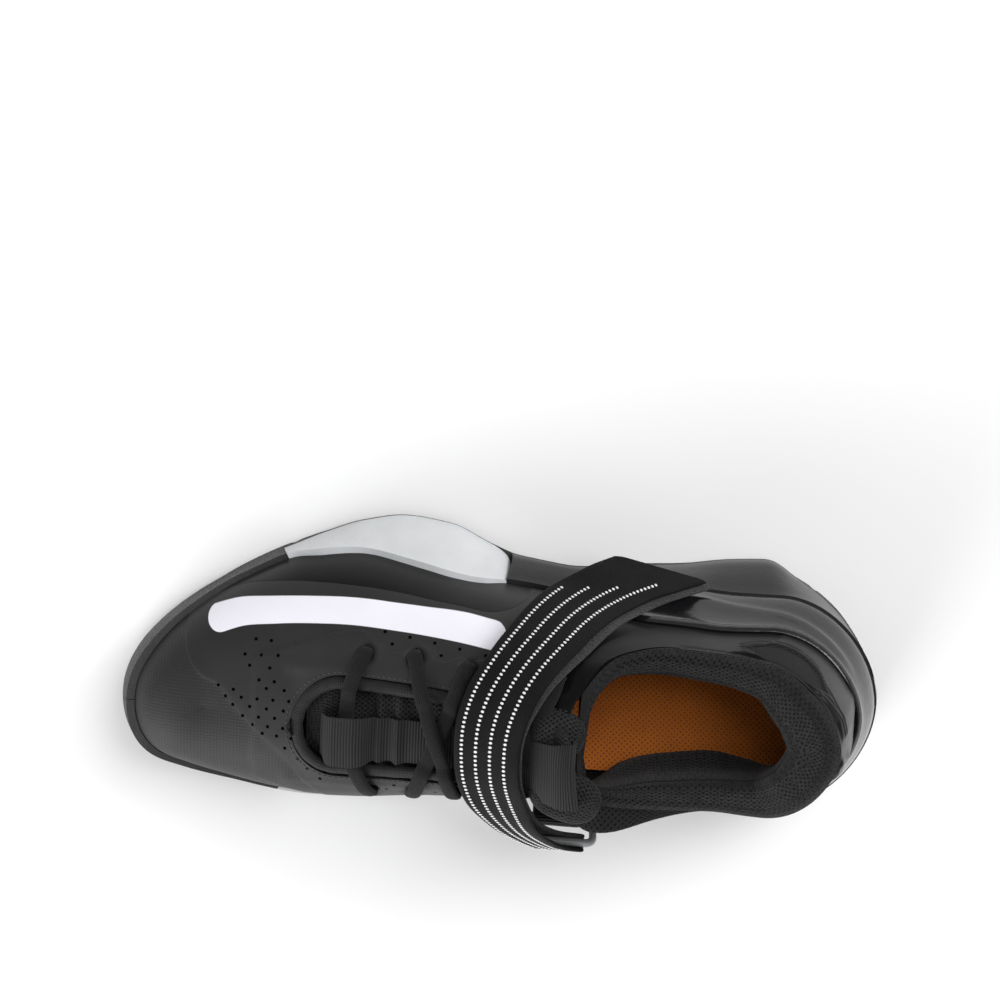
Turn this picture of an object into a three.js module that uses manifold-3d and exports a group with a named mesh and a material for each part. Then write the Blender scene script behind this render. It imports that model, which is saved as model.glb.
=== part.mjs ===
// A right-foot weightlifting shoe, built as its maker would assemble it: a flared sole with a hard
// heel block, a hollow upper drawn over a last, a moulded heel clip, padded collar, tongue, laces,
// and an instep strap that runs through a loop on the inner side and back over itself.
// Millimetres. +X runs to the toe, +Y to the inner (medial) side, +Z up. The origin lies on the
// floor under the middle of the heel.
import * as THREE from "three";
import { mergeVertices } from "three/addons/utils/BufferGeometryUtils.js";
import Module from "manifold-3d";

const wasm = await Module();
wasm.setup();

// Driving sizes
const soleLength = 298; // heel edge to toe edge
const heelCentre = 46; // heel edge of the sole to the middle of the heel
const heelFlare = 11; // how far the sole stands out behind the upper
const toeLip = 5; // how far the sole stands out before the upper
const ballWidth = 96; // the upper across the ball of the foot
const heelWidth = 67; // the upper across the heel
const soleBallWidth = 114; // the sole across its flare at the ball
const soleHeelWidth = 95; // the sole across its heel flare
const heelHeight = 30; // floor to the upper's lower edge at the heel
const forefootHeight = 13; // floor to the upper's lower edge at the ball
const toeSpring = 6.5; // how far the upper's lower edge rises at the toe
const soleToeSpring = 8; // how far the tread lifts off the floor at the toe
const archLift = 3; // how far the tread lifts off the floor at the arch
const instepHeight = 88; // floor to the ridge of the upper at the top of the throat
const collarBackHeight = 97; // floor to the shell's edge at the back of the heel
const collarSideHeight = 77; // floor to the shell's edge under the ankle
const upperWall = 2.4;
const gap = 0.3; // clearance between pieces that touch
const throatWidth = 33; // between the edges of the throat
const outsoleThickness = 4.5;
const insoleThickness = 4.5;
const tongueThickness = 5;
const clipWall = 2.2;
const clipHeight = 56; // floor to the clip's lip beside the heel
const clipFlare = 9; // how far the clip's foot stands off the upper
const clipInset = 0.5; // how far the clip's foot stays inside the sole's rim
const soleRimWall = 1.8; // the sole's rim against the upper
const paddingThickness = 8;
const paddingRise = 6; // how far the collar's roll stands above the shell
const paddingDepth = 34; // how far the padding reaches down inside
const bindingWidth = 5; // the padded lip round the throat
const bindingHeight = 3.6;
const laceWidth = 5;
const laceHeight = 3.2;
const eyeletRadius = 3.2;
const strapWidth = 27;
const strapThickness = 1.8;
const webbingWidth = 16.5;
const webbingThickness = 1.2;
const loopWire = 3; // the moulded loop that the strap turns through
const loopReach = 9; // inner height of the loop
const grooveWidth = 3; // flex grooves across the tread
const grooveDepth = 2;

// Sections of the last in plan, as shares. at: along the last. lateral, medial: of the half width
// there. axis, crown: the outline's middle and the ridge, towards the inner side, of the ball width.
const lastPlanRows = [
  { at: 0, lateral: 1, medial: 1, axis: 0, crown: 0.02 },
  { at: 0.06, lateral: 1, medial: 1, axis: 0, crown: 0.02 },
  { at: 0.12, lateral: 1, medial: 1, axis: 0, crown: 0.02 },
  { at: 0.22, lateral: 1, medial: 0.97, axis: 0, crown: 0.04 },
  { at: 0.32, lateral: 0.91, medial: 0.87, axis: 0, crown: 0.07 },
  { at: 0.42, lateral: 0.82, medial: 0.78, axis: 0, crown: 0.09 },
  { at: 0.52, lateral: 0.86, medial: 0.84, axis: 0, crown: 0.11 },
  { at: 0.61, lateral: 0.97, medial: 0.93, axis: 0, crown: 0.115 },
  { at: 0.69, lateral: 1.04, medial: 0.98, axis: 0, crown: 0.12 },
  { at: 0.77, lateral: 1.02, medial: 1, axis: 0.005, crown: 0.12 },
  { at: 0.85, lateral: 0.94, medial: 0.96, axis: 0.03, crown: 0.11 },
  { at: 0.92, lateral: 0.92, medial: 0.92, axis: 0.075, crown: 0.1 },
  { at: 1, lateral: 0.95, medial: 0.95, axis: 0.125, crown: 0.1 },
];

// Sections of the last in height. rise: the lower edge, from the ball (0) to the heel (1). spring:
// of the toe spring. ridge: of the instep height. square: how full the section is. lean: how far
// the wall leans in.
const lastHeightRows = [
  { at: 0, rise: 1, spring: 0, ridge: 1.36, square: 6, lean: 0.4 },
  { at: 0.06, rise: 1, spring: 0, ridge: 1.36, square: 6, lean: 0.34 },
  { at: 0.12, rise: 1, spring: 0, ridge: 1.35, square: 6, lean: 0.27 },
  { at: 0.22, rise: 0.92, spring: 0, ridge: 1.28, square: 5, lean: 0.2 },
  { at: 0.32, rise: 0.73, spring: 0, ridge: 1.15, square: 3.6, lean: 0.08 },
  { at: 0.42, rise: 0.48, spring: 0, ridge: 1.01, square: 2.9, lean: 0 },
  { at: 0.52, rise: 0.26, spring: 0, ridge: 0.885, square: 2.45, lean: 0 },
  { at: 0.61, rise: 0.1, spring: 0, ridge: 0.775, square: 2.3, lean: 0 },
  { at: 0.69, rise: 0.02, spring: 0, ridge: 0.69, square: 2.3, lean: 0 },
  { at: 0.77, rise: 0, spring: 0, ridge: 0.615, square: 2.35, lean: 0 },
  { at: 0.85, rise: 0, spring: 0.15, ridge: 0.545, square: 2.4, lean: 0 },
  { at: 0.92, rise: 0, spring: 0.45, ridge: 0.49, square: 2.4, lean: 0 },
  { at: 1, rise: 0, spring: 1, ridge: 0.45, square: 2.4, lean: 0 },
];
const lastEnds = { heelRun: 0.13, heelPower: 1.85, toeRun: 0.31, toePower: 2.15 };

// Sections of the sole in plan, as shares. lateral, medial: of the half width there. axis: of the
// sole's ball width.
const solePlanRows = [
  { at: 0, lateral: 0.85, medial: 1.11, axis: 0 },
  { at: 0.03, lateral: 0.93, medial: 1.07, axis: 0 },
  { at: 0.055, lateral: 0.99, medial: 1, axis: 0 },
  { at: 0.11, lateral: 1.01, medial: 0.94, axis: 0 },
  { at: 0.15, lateral: 1.075, medial: 0.92, axis: 0 },
  { at: 0.2, lateral: 1.06, medial: 0.92, axis: 0 },
  { at: 0.26, lateral: 1.005, medial: 0.87, axis: 0 },
  { at: 0.34, lateral: 0.93, medial: 0.74, axis: 0 },
  { at: 0.42, lateral: 0.85, medial: 0.69, axis: 0 },
  { at: 0.48, lateral: 0.86, medial: 0.75, axis: 0 },
  { at: 0.52, lateral: 0.92, medial: 0.8, axis: 0 },
  { at: 0.575, lateral: 1.045, medial: 0.88, axis: 0 },
  { at: 0.635, lateral: 1.085, medial: 0.92, axis: 0 },
  { at: 0.69, lateral: 1.035, medial: 0.915, axis: 0 },
  { at: 0.74, lateral: 0.95, medial: 0.905, axis: 0.001 },
  { at: 0.79, lateral: 0.875, medial: 0.89, axis: 0.009 },
  { at: 0.84, lateral: 0.835, medial: 0.857, axis: 0.03 },
  { at: 0.89, lateral: 0.8, medial: 0.835, axis: 0.055 },
  { at: 0.94, lateral: 0.8, medial: 0.8, axis: 0.083 },
  { at: 1, lateral: 0.85, medial: 0.78, axis: 0.114 },
];

// Sections of the sole in height. arch, toe: the tread off the floor. rimLateral, rimMedial: the
// rim's top above the upper's lower edge, of the forefoot height.
const soleHeightRows = [
  { at: 0, arch: 0, toe: 0, rimLateral: 0, rimMedial: 0 },
  { at: 0.26, arch: 0, toe: 0, rimLateral: 0, rimMedial: 0 },
  { at: 0.34, arch: 0.15, toe: 0, rimLateral: 0.05, rimMedial: 0.05 },
  { at: 0.42, arch: 1, toe: 0, rimLateral: 0.1, rimMedial: 0.2 },
  { at: 0.48, arch: 0.7, toe: 0, rimLateral: 0.3, rimMedial: 0.4 },
  { at: 0.52, arch: 0.3, toe: 0, rimLateral: 0.8, rimMedial: 0.45 },
  { at: 0.575, arch: 0, toe: 0, rimLateral: 1, rimMedial: 0.5 },
  { at: 0.635, arch: 0, toe: 0, rimLateral: 0.85, rimMedial: 0.55 },
  { at: 0.69, arch: 0, toe: 0, rimLateral: 0.7, rimMedial: 0.55 },
  { at: 0.74, arch: 0, toe: 0, rimLateral: 0.75, rimMedial: 0.55 },
  { at: 0.79, arch: 0, toe: 0.01, rimLateral: 0.5, rimMedial: 0.5 },
  { at: 0.84, arch: 0, toe: 0.08, rimLateral: 0.42, rimMedial: 0.45 },
  { at: 0.89, arch: 0, toe: 0.35, rimLateral: 0.52, rimMedial: 0.55 },
  { at: 0.94, arch: 0, toe: 0.68, rimLateral: 0.65, rimMedial: 0.65 },
  { at: 1, arch: 0, toe: 1, rimLateral: 0.8, rimMedial: 0.8 },
];
const soleEnds = { heelRun: 0.16, heelPower: 1.6, toeRun: 0.31, toePower: 2.15 };

// The sole's side, from the tread up. height: of the way to the rim's top. inset: of the way from
// the sole's outline to the rim.
const soleSideRows = [
  { height: 0, inset: 0.22 },
  { height: 0.12, inset: 0.02 },
  { height: 0.3, inset: 0 },
  { height: 0.62, inset: 0.3 },
  { height: 0.86, inset: 0.72 },
  { height: 1, inset: 1 },
];

// A smooth curve through one named column of a table, over the column that places the rows
function column(rows, name, place = "at") {
  const x = rows.map((row) => row[place]);
  const y = rows.map((row) => row[name]);
  const slope = y.map((value, i) => {
    if (i === 0 || i === y.length - 1) return 0;
    const before = (value - y[i - 1]) / (x[i] - x[i - 1]);
    const after = (y[i + 1] - value) / (x[i + 1] - x[i]);
    return before * after <= 0 ? 0 : (2 * before * after) / (before + after);
  });
  return (where) => {
    if (where <= x[0]) return y[0];
    if (where >= x[x.length - 1]) return y[y.length - 1];
    let i = 0;
    while (where > x[i + 1]) i += 1;
    const run = x[i + 1] - x[i];
    const t = (where - x[i]) / run;
    const keep = t * t * (3 - 2 * t);
    const leave = t * (1 - t) * (1 - t) * run;
    const arrive = t * t * (t - 1) * run;
    return y[i] * (1 - keep) + y[i + 1] * keep + slope[i] * leave + slope[i + 1] * arrive;
  };
}

const columnsOf = (rows, names, place) =>
  Object.fromEntries(names.map((name) => [name, column(rows, name, place)]));

const mix = THREE.MathUtils.lerp;
const smoothStep = THREE.MathUtils.smoothstep;
const lateralSide = -1;
const medialSide = 1;

const lastShape = {
  ...columnsOf(lastPlanRows, ["lateral", "medial", "axis", "crown"]),
  ...columnsOf(lastHeightRows, ["rise", "spring", "ridge", "square", "lean"]),
};
const soleShape = {
  ...columnsOf(solePlanRows, ["lateral", "medial", "axis"]),
  ...columnsOf(soleHeightRows, ["arch", "toe", "rimLateral", "rimMedial"]),
};

const lastLength = soleLength - heelFlare - toeLip;
const lastBack = heelFlare - heelCentre; // x of the upper's heel
const soleBack = -heelCentre;
const heelCone = 0.13; // where the ridge ends over the heel and over the toe, along the last
const toeCone = 0.9;

// How an outline rounds off at both ends: 1 along the middle, 0 at the very ends
function roundOff(at, ends) {
  const heel = Math.max(0, 1 - at / ends.heelRun);
  const toe = Math.max(0, 1 - (1 - at) / ends.toeRun);
  return (
    Math.max(0, 1 - heel ** ends.heelPower) ** (1 / ends.heelPower) *
    Math.max(0, 1 - toe ** ends.toePower) ** (1 / ends.toePower)
  );
}

// The ridge keeps to the stretch between the two cones, so the ends of the last fan out from them
function ridgePlace(at) {
  const softness = 0.04;
  const fromHeel = (at + heelCone + Math.hypot(at - heelCone, softness)) / 2;
  return (fromHeel + toeCone - Math.hypot(fromHeel - toeCone, softness)) / 2;
}

const lastX = (at, out = 0) => lastBack - out + at * (lastLength + 2 * out);
const lastAt = (x) => (x - lastBack) / lastLength;
const featherHeight = (at) =>
  mix(forefootHeight, heelHeight, lastShape.rise(at)) + toeSpring * lastShape.spring(at);

// One meridian of the last: from its foot on the lower edge up to the ridge
function meridian(side, at, out = 0) {
  const width = mix(heelWidth, ballWidth, smoothStep(at, 0.18, 0.5));
  const share = side < 0 ? lastShape.lateral(at) : lastShape.medial(at);
  const half = ((share * width) / 2 + out) * roundOff(at, lastEnds);
  const top = ridgePlace(at);
  return {
    foot: new THREE.Vector2(lastX(at, out), lastShape.axis(at) * ballWidth + side * half),
    cone: new THREE.Vector2(lastX(top, out), lastShape.crown(top) * ballWidth),
    low: featherHeight(at),
    high: lastShape.ridge(top) * instepHeight + out,
    square: lastShape.square(at),
    lean: lastShape.lean(at),
  };
}

// The point of a meridian at a share of its height
function pointAt(line, share) {
  const reach =
    Math.max(0, 1 - share ** line.square) ** (1 / line.square) * (1 - line.lean * share * share);
  return new THREE.Vector3(
    mix(line.cone.x, line.foot.x, reach),
    mix(line.cone.y, line.foot.y, reach),
    mix(line.low, line.high, share),
  );
}

// The point of a meridian at a turn from its foot (0) to the ridge (1)
function pointTurned(line, turn) {
  return pointAt(line, Math.sin((turn * Math.PI) / 2) ** (2 / line.square));
}

// The last's surface over a point of the plan, where the sections stand square to the length
function roofOver(x, y, out = 0) {
  const at = lastAt(x);
  const line = meridian(y < lastShape.crown(at) * ballWidth ? lateralSide : medialSide, at, out);
  const reach = Math.min(1, Math.abs(y - line.cone.y) / Math.abs(line.foot.y - line.cone.y));
  return mix(line.low, line.high, (1 - reach ** line.square) ** (1 / line.square));
}

// A closed geometry from its triangles' corners, turned so that it faces out
function closedGeometry(points) {
  let volume = 0;
  for (let i = 0; i < points.length; i += 3) {
    volume += points[i].dot(points[i + 1].clone().cross(points[i + 2]));
  }
  const order = volume < 0 ? [0, 2, 1] : [0, 1, 2];
  const positions = new Float32Array(points.length * 3);
  for (let i = 0; i < points.length; i += 3) {
    order.forEach((corner, k) => points[i + corner].toArray(positions, (i + k) * 3));
  }
  return new THREE.BufferGeometry().setAttribute("position", new THREE.BufferAttribute(positions, 3));
}

// The strips between rings of points, each ring as long as the next
function strips(rings, closed) {
  const count = rings[0].length;
  const points = [];
  for (let r = 0; r + 1 < rings.length + (closed ? 1 : 0); r += 1) {
    const next = rings[(r + 1) % rings.length];
    for (let i = 0; i < count; i += 1) {
      const j = (i + 1) % count;
      points.push(rings[r][i], rings[r][j], next[j], rings[r][i], next[j], next[i]);
    }
  }
  return points;
}

// A closed geometry from rings round the shoe, with the first and last ring closed by strips
// between the two halves of the ring
function geometryOfRings(rings) {
  const count = rings[0].length;
  const tip = count / 2;
  const points = strips(rings, false);
  const cap = (ring, facing) => {
    const corner = (a, b, c) => points.push(ring[a], ring[facing > 0 ? b : c], ring[facing > 0 ? c : b]);
    corner(0, 1, count - 1);
    for (let i = 1; i + 1 < tip; i += 1) {
      corner(i, i + 1, count - i - 1);
      corner(i, count - i - 1, count - i);
    }
    corner(tip - 1, tip, tip + 1);
  };
  cap(rings[0], -1);
  cap(rings[rings.length - 1], 1);
  return closedGeometry(points);
}

// A closed geometry from sections along a path, each a closed outline, with flat ends or joined up
function geometryOfSections(sections, closed = false) {
  const points = strips(sections, closed);
  const cap = (section, facing) => {
    const corner = (a, b, c) => {
      points.push(section[a], section[facing > 0 ? b : c], section[facing > 0 ? c : b]);
    };
    for (let i = 0, j = section.length - 1; i + 1 < j; i += 1, j -= 1) {
      if (j - i > 2) corner(i, i + 1, j - 1);
      corner(i, j - 1, j);
    }
  };
  if (!closed) {
    cap(sections[0], -1);
    cap(sections[sections.length - 1], 1);
  }
  return closedGeometry(points);
}

// A geometry as a solid that can be cut and joined, and back again
function solidOf(geometry) {
  const bare = geometry.index ? geometry.toNonIndexed() : geometry;
  const positions = new THREE.BufferGeometry().setAttribute("position", bare.getAttribute("position"));
  const merged = mergeVertices(positions, 1e-4);
  const corners = merged.index.array;
  const kept = [];
  for (let i = 0; i < corners.length; i += 3) {
    const [a, b, c] = [corners[i], corners[i + 1], corners[i + 2]];
    if (a !== b && b !== c && c !== a) kept.push(a, b, c);
  }
  return new wasm.Manifold(
    new wasm.Mesh({
      numProp: 3,
      vertProperties: merged.attributes.position.array,
      triVerts: new Uint32Array(kept),
    }),
  );
}

function geometryOf(solid) {
  const mesh = solid.getMesh();
  const geometry = new THREE.BufferGeometry()
    .setAttribute("position", new THREE.BufferAttribute(new Float32Array(mesh.vertProperties), 3))
    .setIndex(new THREE.BufferAttribute(new Uint32Array(mesh.triVerts), 1))
    .toNonIndexed();
  geometry.computeVertexNormals();
  return geometry;
}

// Stations along the length, closer together where the ends turn round
function stations(count) {
  return Array.from({ length: count + 1 }, (_, i) => 0.5 - 0.5 * Math.cos((Math.PI * i) / count));
}

// A ring of the two sides: out along the lateral side to the toe, back along the medial side
function ringOf(count, point) {
  const places = stations(count);
  const out = places.map((at) => point(lateralSide, at));
  const back = places.slice(1, -1).reverse().map((at) => point(medialSide, at));
  return [...out, ...back];
}

const stationCount = 32;
const turns = [0.01, 0.06, 0.14, 0.25, 0.38, 0.52, 0.66, 0.8, 0.93];

// The whole last, grown by a clearance or shrunk by a wall, down to a drop below its lower edge
function lastSolid(out, drop) {
  const foot = ringOf(stationCount, (side, at) => {
    const line = meridian(side, at, out);
    return new THREE.Vector3(line.foot.x, line.foot.y, line.low - drop);
  });
  const rings = turns.map((turn) =>
    ringOf(stationCount, (side, at) => pointTurned(meridian(side, at, out), turn)),
  );
  return solidOf(geometryOfRings([foot, ...rings]));
}

// A prism of a shape drawn in side view, across the whole shoe
function sidePrism(points) {
  const shape = new THREE.Shape(points.map(([x, z]) => new THREE.Vector2(x, z)));
  const reach = 2 * soleBallWidth;
  const geometry = new THREE.ExtrudeGeometry(shape, { depth: reach, bevelEnabled: false });
  geometry.rotateX(Math.PI / 2);
  geometry.translate(0, reach / 2, 0);
  return solidOf(geometry);
}

// A prism of a shape drawn in plan, between two heights
function planPrism(points, low, high) {
  const shape = new THREE.Shape(points.map(([x, y]) => new THREE.Vector2(x, y)));
  const geometry = new THREE.ExtrudeGeometry(shape, { depth: high - low, bevelEnabled: false });
  geometry.translate(0, 0, low);
  return solidOf(geometry);
}

// The shell's edge in side view: at, along the last, and its height as a share of the way from the
// side height to the back height. Past the last row the throat takes over.
const collarRows = [
  { at: 0, height: 1 },
  { at: 0.06, height: 0.93 },
  { at: 0.13, height: 0.42 },
  { at: 0.2, height: 0.04 },
  { at: 0.27, height: 0.02 },
  { at: 0.33, height: 0.25 },
  { at: 0.39, height: 0.68 },
];
const collarShare = column(collarRows, "height");
const collarHeight = (at) => mix(collarSideHeight, collarBackHeight, collarShare(at));
const collarFront = lastX(collarRows[collarRows.length - 1].at);
const skyHeight = 2 * instepHeight;

function collarCutter() {
  const steps = 48;
  const edge = Array.from({ length: steps + 1 }, (_, i) => {
    const at = (collarRows[collarRows.length - 1].at * i) / steps;
    return [lastX(at), collarHeight(at)];
  });
  return sidePrism([
    [lastBack - heelFlare, collarHeight(0)],
    ...edge,
    [collarFront, skyHeight],
    [lastBack - heelFlare, skyHeight],
  ]);
}

// The throat. at: along the last. middle: towards the inner side, of the ball width. width: of the
// throat's width.
const throatRows = [
  { at: 0.39, middle: 0.112, width: 0.93 },
  { at: 0.47, middle: 0.105, width: 0.93 },
  { at: 0.55, middle: 0.1, width: 0.96 },
  { at: 0.64, middle: 0.105, width: 1.03 },
  { at: 0.7, middle: 0.112, width: 1.06 },
  { at: 0.765, middle: 0.125, width: 1.06 },
];
const throatShape = columnsOf(throatRows, ["middle", "width"]);
const throatFront = lastX(throatRows[throatRows.length - 1].at);
const throatMiddle = (x) => throatShape.middle(lastAt(x)) * ballWidth;

// The throat's outline in plan, grown by a margin: up the lateral edge, round the front and back
function throatOutline(from, margin) {
  const round = throatWidth / 2;
  const turnSteps = 8;
  const straightSteps = 10;
  const straight = Array.from({ length: straightSteps }, (_, i) => [
    mix(from, throatFront - round, i / straightSteps),
    1,
  ]);
  const turned = Array.from({ length: turnSteps }, (_, i) => {
    const angle = (Math.PI * i) / (2 * turnSteps);
    return [throatFront - round + (round + margin) * Math.sin(angle), Math.cos(angle)];
  });
  const edge = [...straight, ...turned].map(([x, share]) => {
    const half = (throatShape.width(lastAt(x)) * throatWidth) / 2 + margin;
    return { x, middle: throatMiddle(x), half: half * share };
  });
  return [
    ...edge.map(({ x, middle, half }) => [x, middle - half]),
    [throatFront + margin, throatMiddle(throatFront)],
    ...edge.reverse().map(({ x, middle, half }) => [x, middle + half]),
  ];
}

const throatFloor = forefootHeight + 2 * insoleThickness; // the throat's cut stays above it
const throatCutter = (margin) =>
  planPrism(throatOutline(collarFront - strapWidth, margin), throatFloor, skyHeight);

// Eyelets, in pairs from the front, on each side: along the last, and across, of the ball width
const eyeletRows = [
  { lateralAt: 0.673, lateral: -0.192, medialAt: 0.66, medial: 0.378 },
  { lateralAt: 0.605, lateral: -0.2, medialAt: 0.602, medial: 0.362 },
  { lateralAt: 0.531, lateral: -0.183, medialAt: 0.544, medial: 0.33 },
  { lateralAt: 0.468, lateral: -0.185, medialAt: 0.475, medial: 0.34 },
  { lateralAt: 0.41, lateral: -0.19, medialAt: 0.415, medial: 0.33 },
];

function eyelet(row, side) {
  const x = lastX(side < 0 ? row.lateralAt : row.medialAt);
  const y = (side < 0 ? row.lateral : row.medial) * ballWidth;
  return new THREE.Vector3(x, y, roofOver(x, y));
}

// The direction that faces out of the last over a point of the plan
function roofNormal(x, y) {
  const step = 1;
  const alongX = (roofOver(x + step, y) - roofOver(x - step, y)) / (2 * step);
  const alongY = (roofOver(x, y + step) - roofOver(x, y - step)) / (2 * step);
  return new THREE.Vector3(-alongX, -alongY, 1).normalize();
}

function eyeletPunch(row, side) {
  const place = eyelet(row, side);
  const punch = new THREE.CylinderGeometry(eyeletRadius, eyeletRadius, 6 * upperWall, 12);
  const turn = new THREE.Quaternion().setFromUnitVectors(
    new THREE.Vector3(0, 1, 0),
    roofNormal(place.x, place.y),
  );
  punch.applyQuaternion(turn);
  punch.translate(place.x, place.y, place.z);
  return solidOf(punch);
}

function makeUpper() {
  const openBelow = 2 * upperWall;
  let shell = lastSolid(0, 0).subtract(lastSolid(-upperWall, openBelow));
  shell = shell.subtract(collarCutter()).subtract(throatCutter(bindingWidth / 2 + gap));
  for (const row of eyeletRows) {
    for (const side of [lateralSide, medialSide]) shell = shell.subtract(eyeletPunch(row, side));
  }
  return shell;
}

// The sole as one body, before it is parted into rubber, foam and heel block
function soleBody() {
  const outline = (side, at) => {
    const width = mix(soleHeelWidth, soleBallWidth, smoothStep(at, 0.25, 0.55));
    const share = side < 0 ? soleShape.lateral(at) : soleShape.medial(at);
    const half = ((share * width) / 2) * roundOff(at, soleEnds);
    return new THREE.Vector2(
      soleBack + at * soleLength,
      soleShape.axis(at) * soleBallWidth + side * half,
    );
  };
  const ring = (level) =>
    ringOf(stationCount, (side, at) => {
      const edge = outline(side, at);
      const standOff = rimStandOff(at);
      const rim = meridian(side, at, standOff).foot;
      const bottom = archLift * soleShape.arch(at) + soleToeSpring * soleShape.toe(at);
      return new THREE.Vector3(
        mix(edge.x, rim.x, level.inset),
        mix(edge.y, rim.y, level.inset),
        mix(bottom, rimHeight(side, at), level.height),
      );
    });
  return solidOf(geometryOfRings(soleSideRows.map(ring)));
}

// At the heel the rim stands off the upper, to carry the clip's foot
const clipEnd = 0.36; // along the last
const rimStandOff = (at) =>
  mix(clipFlare + gap, gap + soleRimWall, smoothStep(at, clipEnd - 0.06, clipEnd + 0.06));
const rimHeight = (side, at) =>
  featherHeight(at) +
  forefootHeight * (side < 0 ? soleShape.rimLateral(at) : soleShape.rimMedial(at));

// Where the foam meets the heel block and the toe rubber, in side view
const foamBack = lastX(0.49);
const foamFront = lastX(0.81);
const partingLean = 10; // how far the partings lean over the sole's height

function treadTop(at) {
  return outsoleThickness + archLift * soleShape.arch(at) + soleToeSpring * soleShape.toe(at);
}

// A band of the sole between two heights, from one place to another, in side view
function soleBand(from, to, low, high) {
  const steps = 24;
  const lower = [];
  const upper = [];
  for (let i = 0; i <= steps; i += 1) {
    const x = mix(from, to, i / steps);
    const at = (x - soleBack) / soleLength;
    lower.push([x, low(at)]);
    upper.push([x, high(at)]);
  }
  return sidePrism([...lower, ...upper.reverse()]);
}

function soleParts() {
  const body = soleBody().subtract(lastSolid(gap, gap));
  const ends = 20;
  const deep = () => -ends;
  const tall = () => heelHeight + 2 * ends;
  const rubber = body
    .intersect(soleBand(soleBack - ends, soleBack + soleLength + ends, deep, treadTop))
    .add(
      body.intersect(
        sidePrism([
          [foamFront, -ends],
          [foamFront + soleLength, -ends],
          [foamFront + soleLength, skyHeight],
          [foamFront - partingLean, skyHeight / 2],
        ]),
      ),
    )
    .subtract(grooves());
  const above = (at) => treadTop(at) + gap;
  const core = body.intersect(soleBand(soleBack - ends, soleBack + soleLength + ends, above, tall));
  const foam = core.intersect(
    sidePrism([
      [foamBack + gap, -ends],
      [foamFront - gap, -ends],
      [foamFront - partingLean - gap, skyHeight / 2],
      [foamBack + gap - partingLean, skyHeight / 2],
    ]),
  );
  const heel = core.intersect(
    sidePrism([
      [soleBack - ends, -ends],
      [foamBack, -ends],
      [foamBack - partingLean, skyHeight / 2],
      [soleBack - ends, skyHeight / 2],
    ]),
  );
  return { rubber, foam, heel };
}

// Flex grooves across the tread under the ball, and two across the heel
const grooveRows = [{ at: 0.09 }, { at: 0.23 }, { at: 0.6 }, { at: 0.66 }, { at: 0.72 }, { at: 0.78 }];

function grooves() {
  const cuts = grooveRows.map((row) => {
    const x = soleBack + row.at * soleLength;
    return sidePrism([
      [x - grooveWidth / 2, -grooveDepth],
      [x + grooveWidth / 2, -grooveDepth],
      [x + grooveWidth / 4, grooveDepth],
      [x - grooveWidth / 4, grooveDepth],
    ]);
  });
  return cuts.reduce((all, cut) => all.add(cut));
}

// The moulded clip round the heel: a flared foot on the heel block, a thin lip on the upper
const clipRows = [
  { at: 0, lip: 1 },
  { at: 0.08, lip: 0.95 },
  { at: 0.2, lip: 1 },
  { at: 0.29, lip: 0.98 },
  { at: 0.36, lip: 0.86 },
];
const clipLip = column(clipRows, "lip");

function makeClip() {
  const sections = roundHeel(clipEnd, 22).map(([side, at]) => {
    const low = rimHeight(side, at) + gap;
    const high = clipHeight * clipLip(at);
    const foot = Math.max(Math.min(clipFlare, rimStandOff(at)) - clipInset, gap + clipWall);
    const wall = gap + clipWall;
    const spots = [
      [gap, low],
      [gap, mix(low, high, 0.5)],
      [gap, high],
      [wall, high - clipWall / 2],
      [mix(wall, foot, 0.2), mix(low, high, 0.62)],
      [mix(wall, foot, 0.6), mix(low, high, 0.28)],
      [foot, low + clipWall],
      [foot, low],
    ];
    return spots.map(([out, height]) => sidePoint(side, at, height, out));
  });
  return solidOf(geometryOfSections(sections));
}

// The insole, lying on the sole inside the upper
function makeInsole() {
  const inside = lastSolid(-upperWall - 2 * gap, 0);
  const top = (at) => featherHeight(lastAt(soleBack + at * soleLength)) + insoleThickness;
  return inside.intersect(soleBand(soleBack, soleBack + soleLength, () => 0, top));
}

// A point on the last's side at a height over the floor, grown or shrunk by out
function sidePoint(side, at, height, out) {
  const line = meridian(side, at, out);
  return pointAt(line, (height - line.low) / (line.high - line.low));
}

// Places from the lateral side round the heel to the medial side, closer together at the heel
function roundHeel(reach, steps) {
  const places = stations(2 * steps).slice(0, steps + 1).map((at) => at * 2 * reach);
  return [
    ...places.slice(1).reverse().map((at) => [lateralSide, at]),
    ...places.map((at) => [medialSide, at]),
  ];
}

// The collar's padding: a roll over the shell's edge that runs down inside. roll: of the rise.
// thick: of the thickness.
const paddingRows = [
  { at: 0, roll: 1, thick: 2.3 },
  { at: 0.07, roll: 1, thick: 1.9 },
  { at: 0.16, roll: 1, thick: 1.2 },
  { at: 0.28, roll: 0.7, thick: 0.9 },
  { at: 0.335, roll: 0.4, thick: 0.5 },
];
const paddingShape = columnsOf(paddingRows, ["roll", "thick"]);

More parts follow.
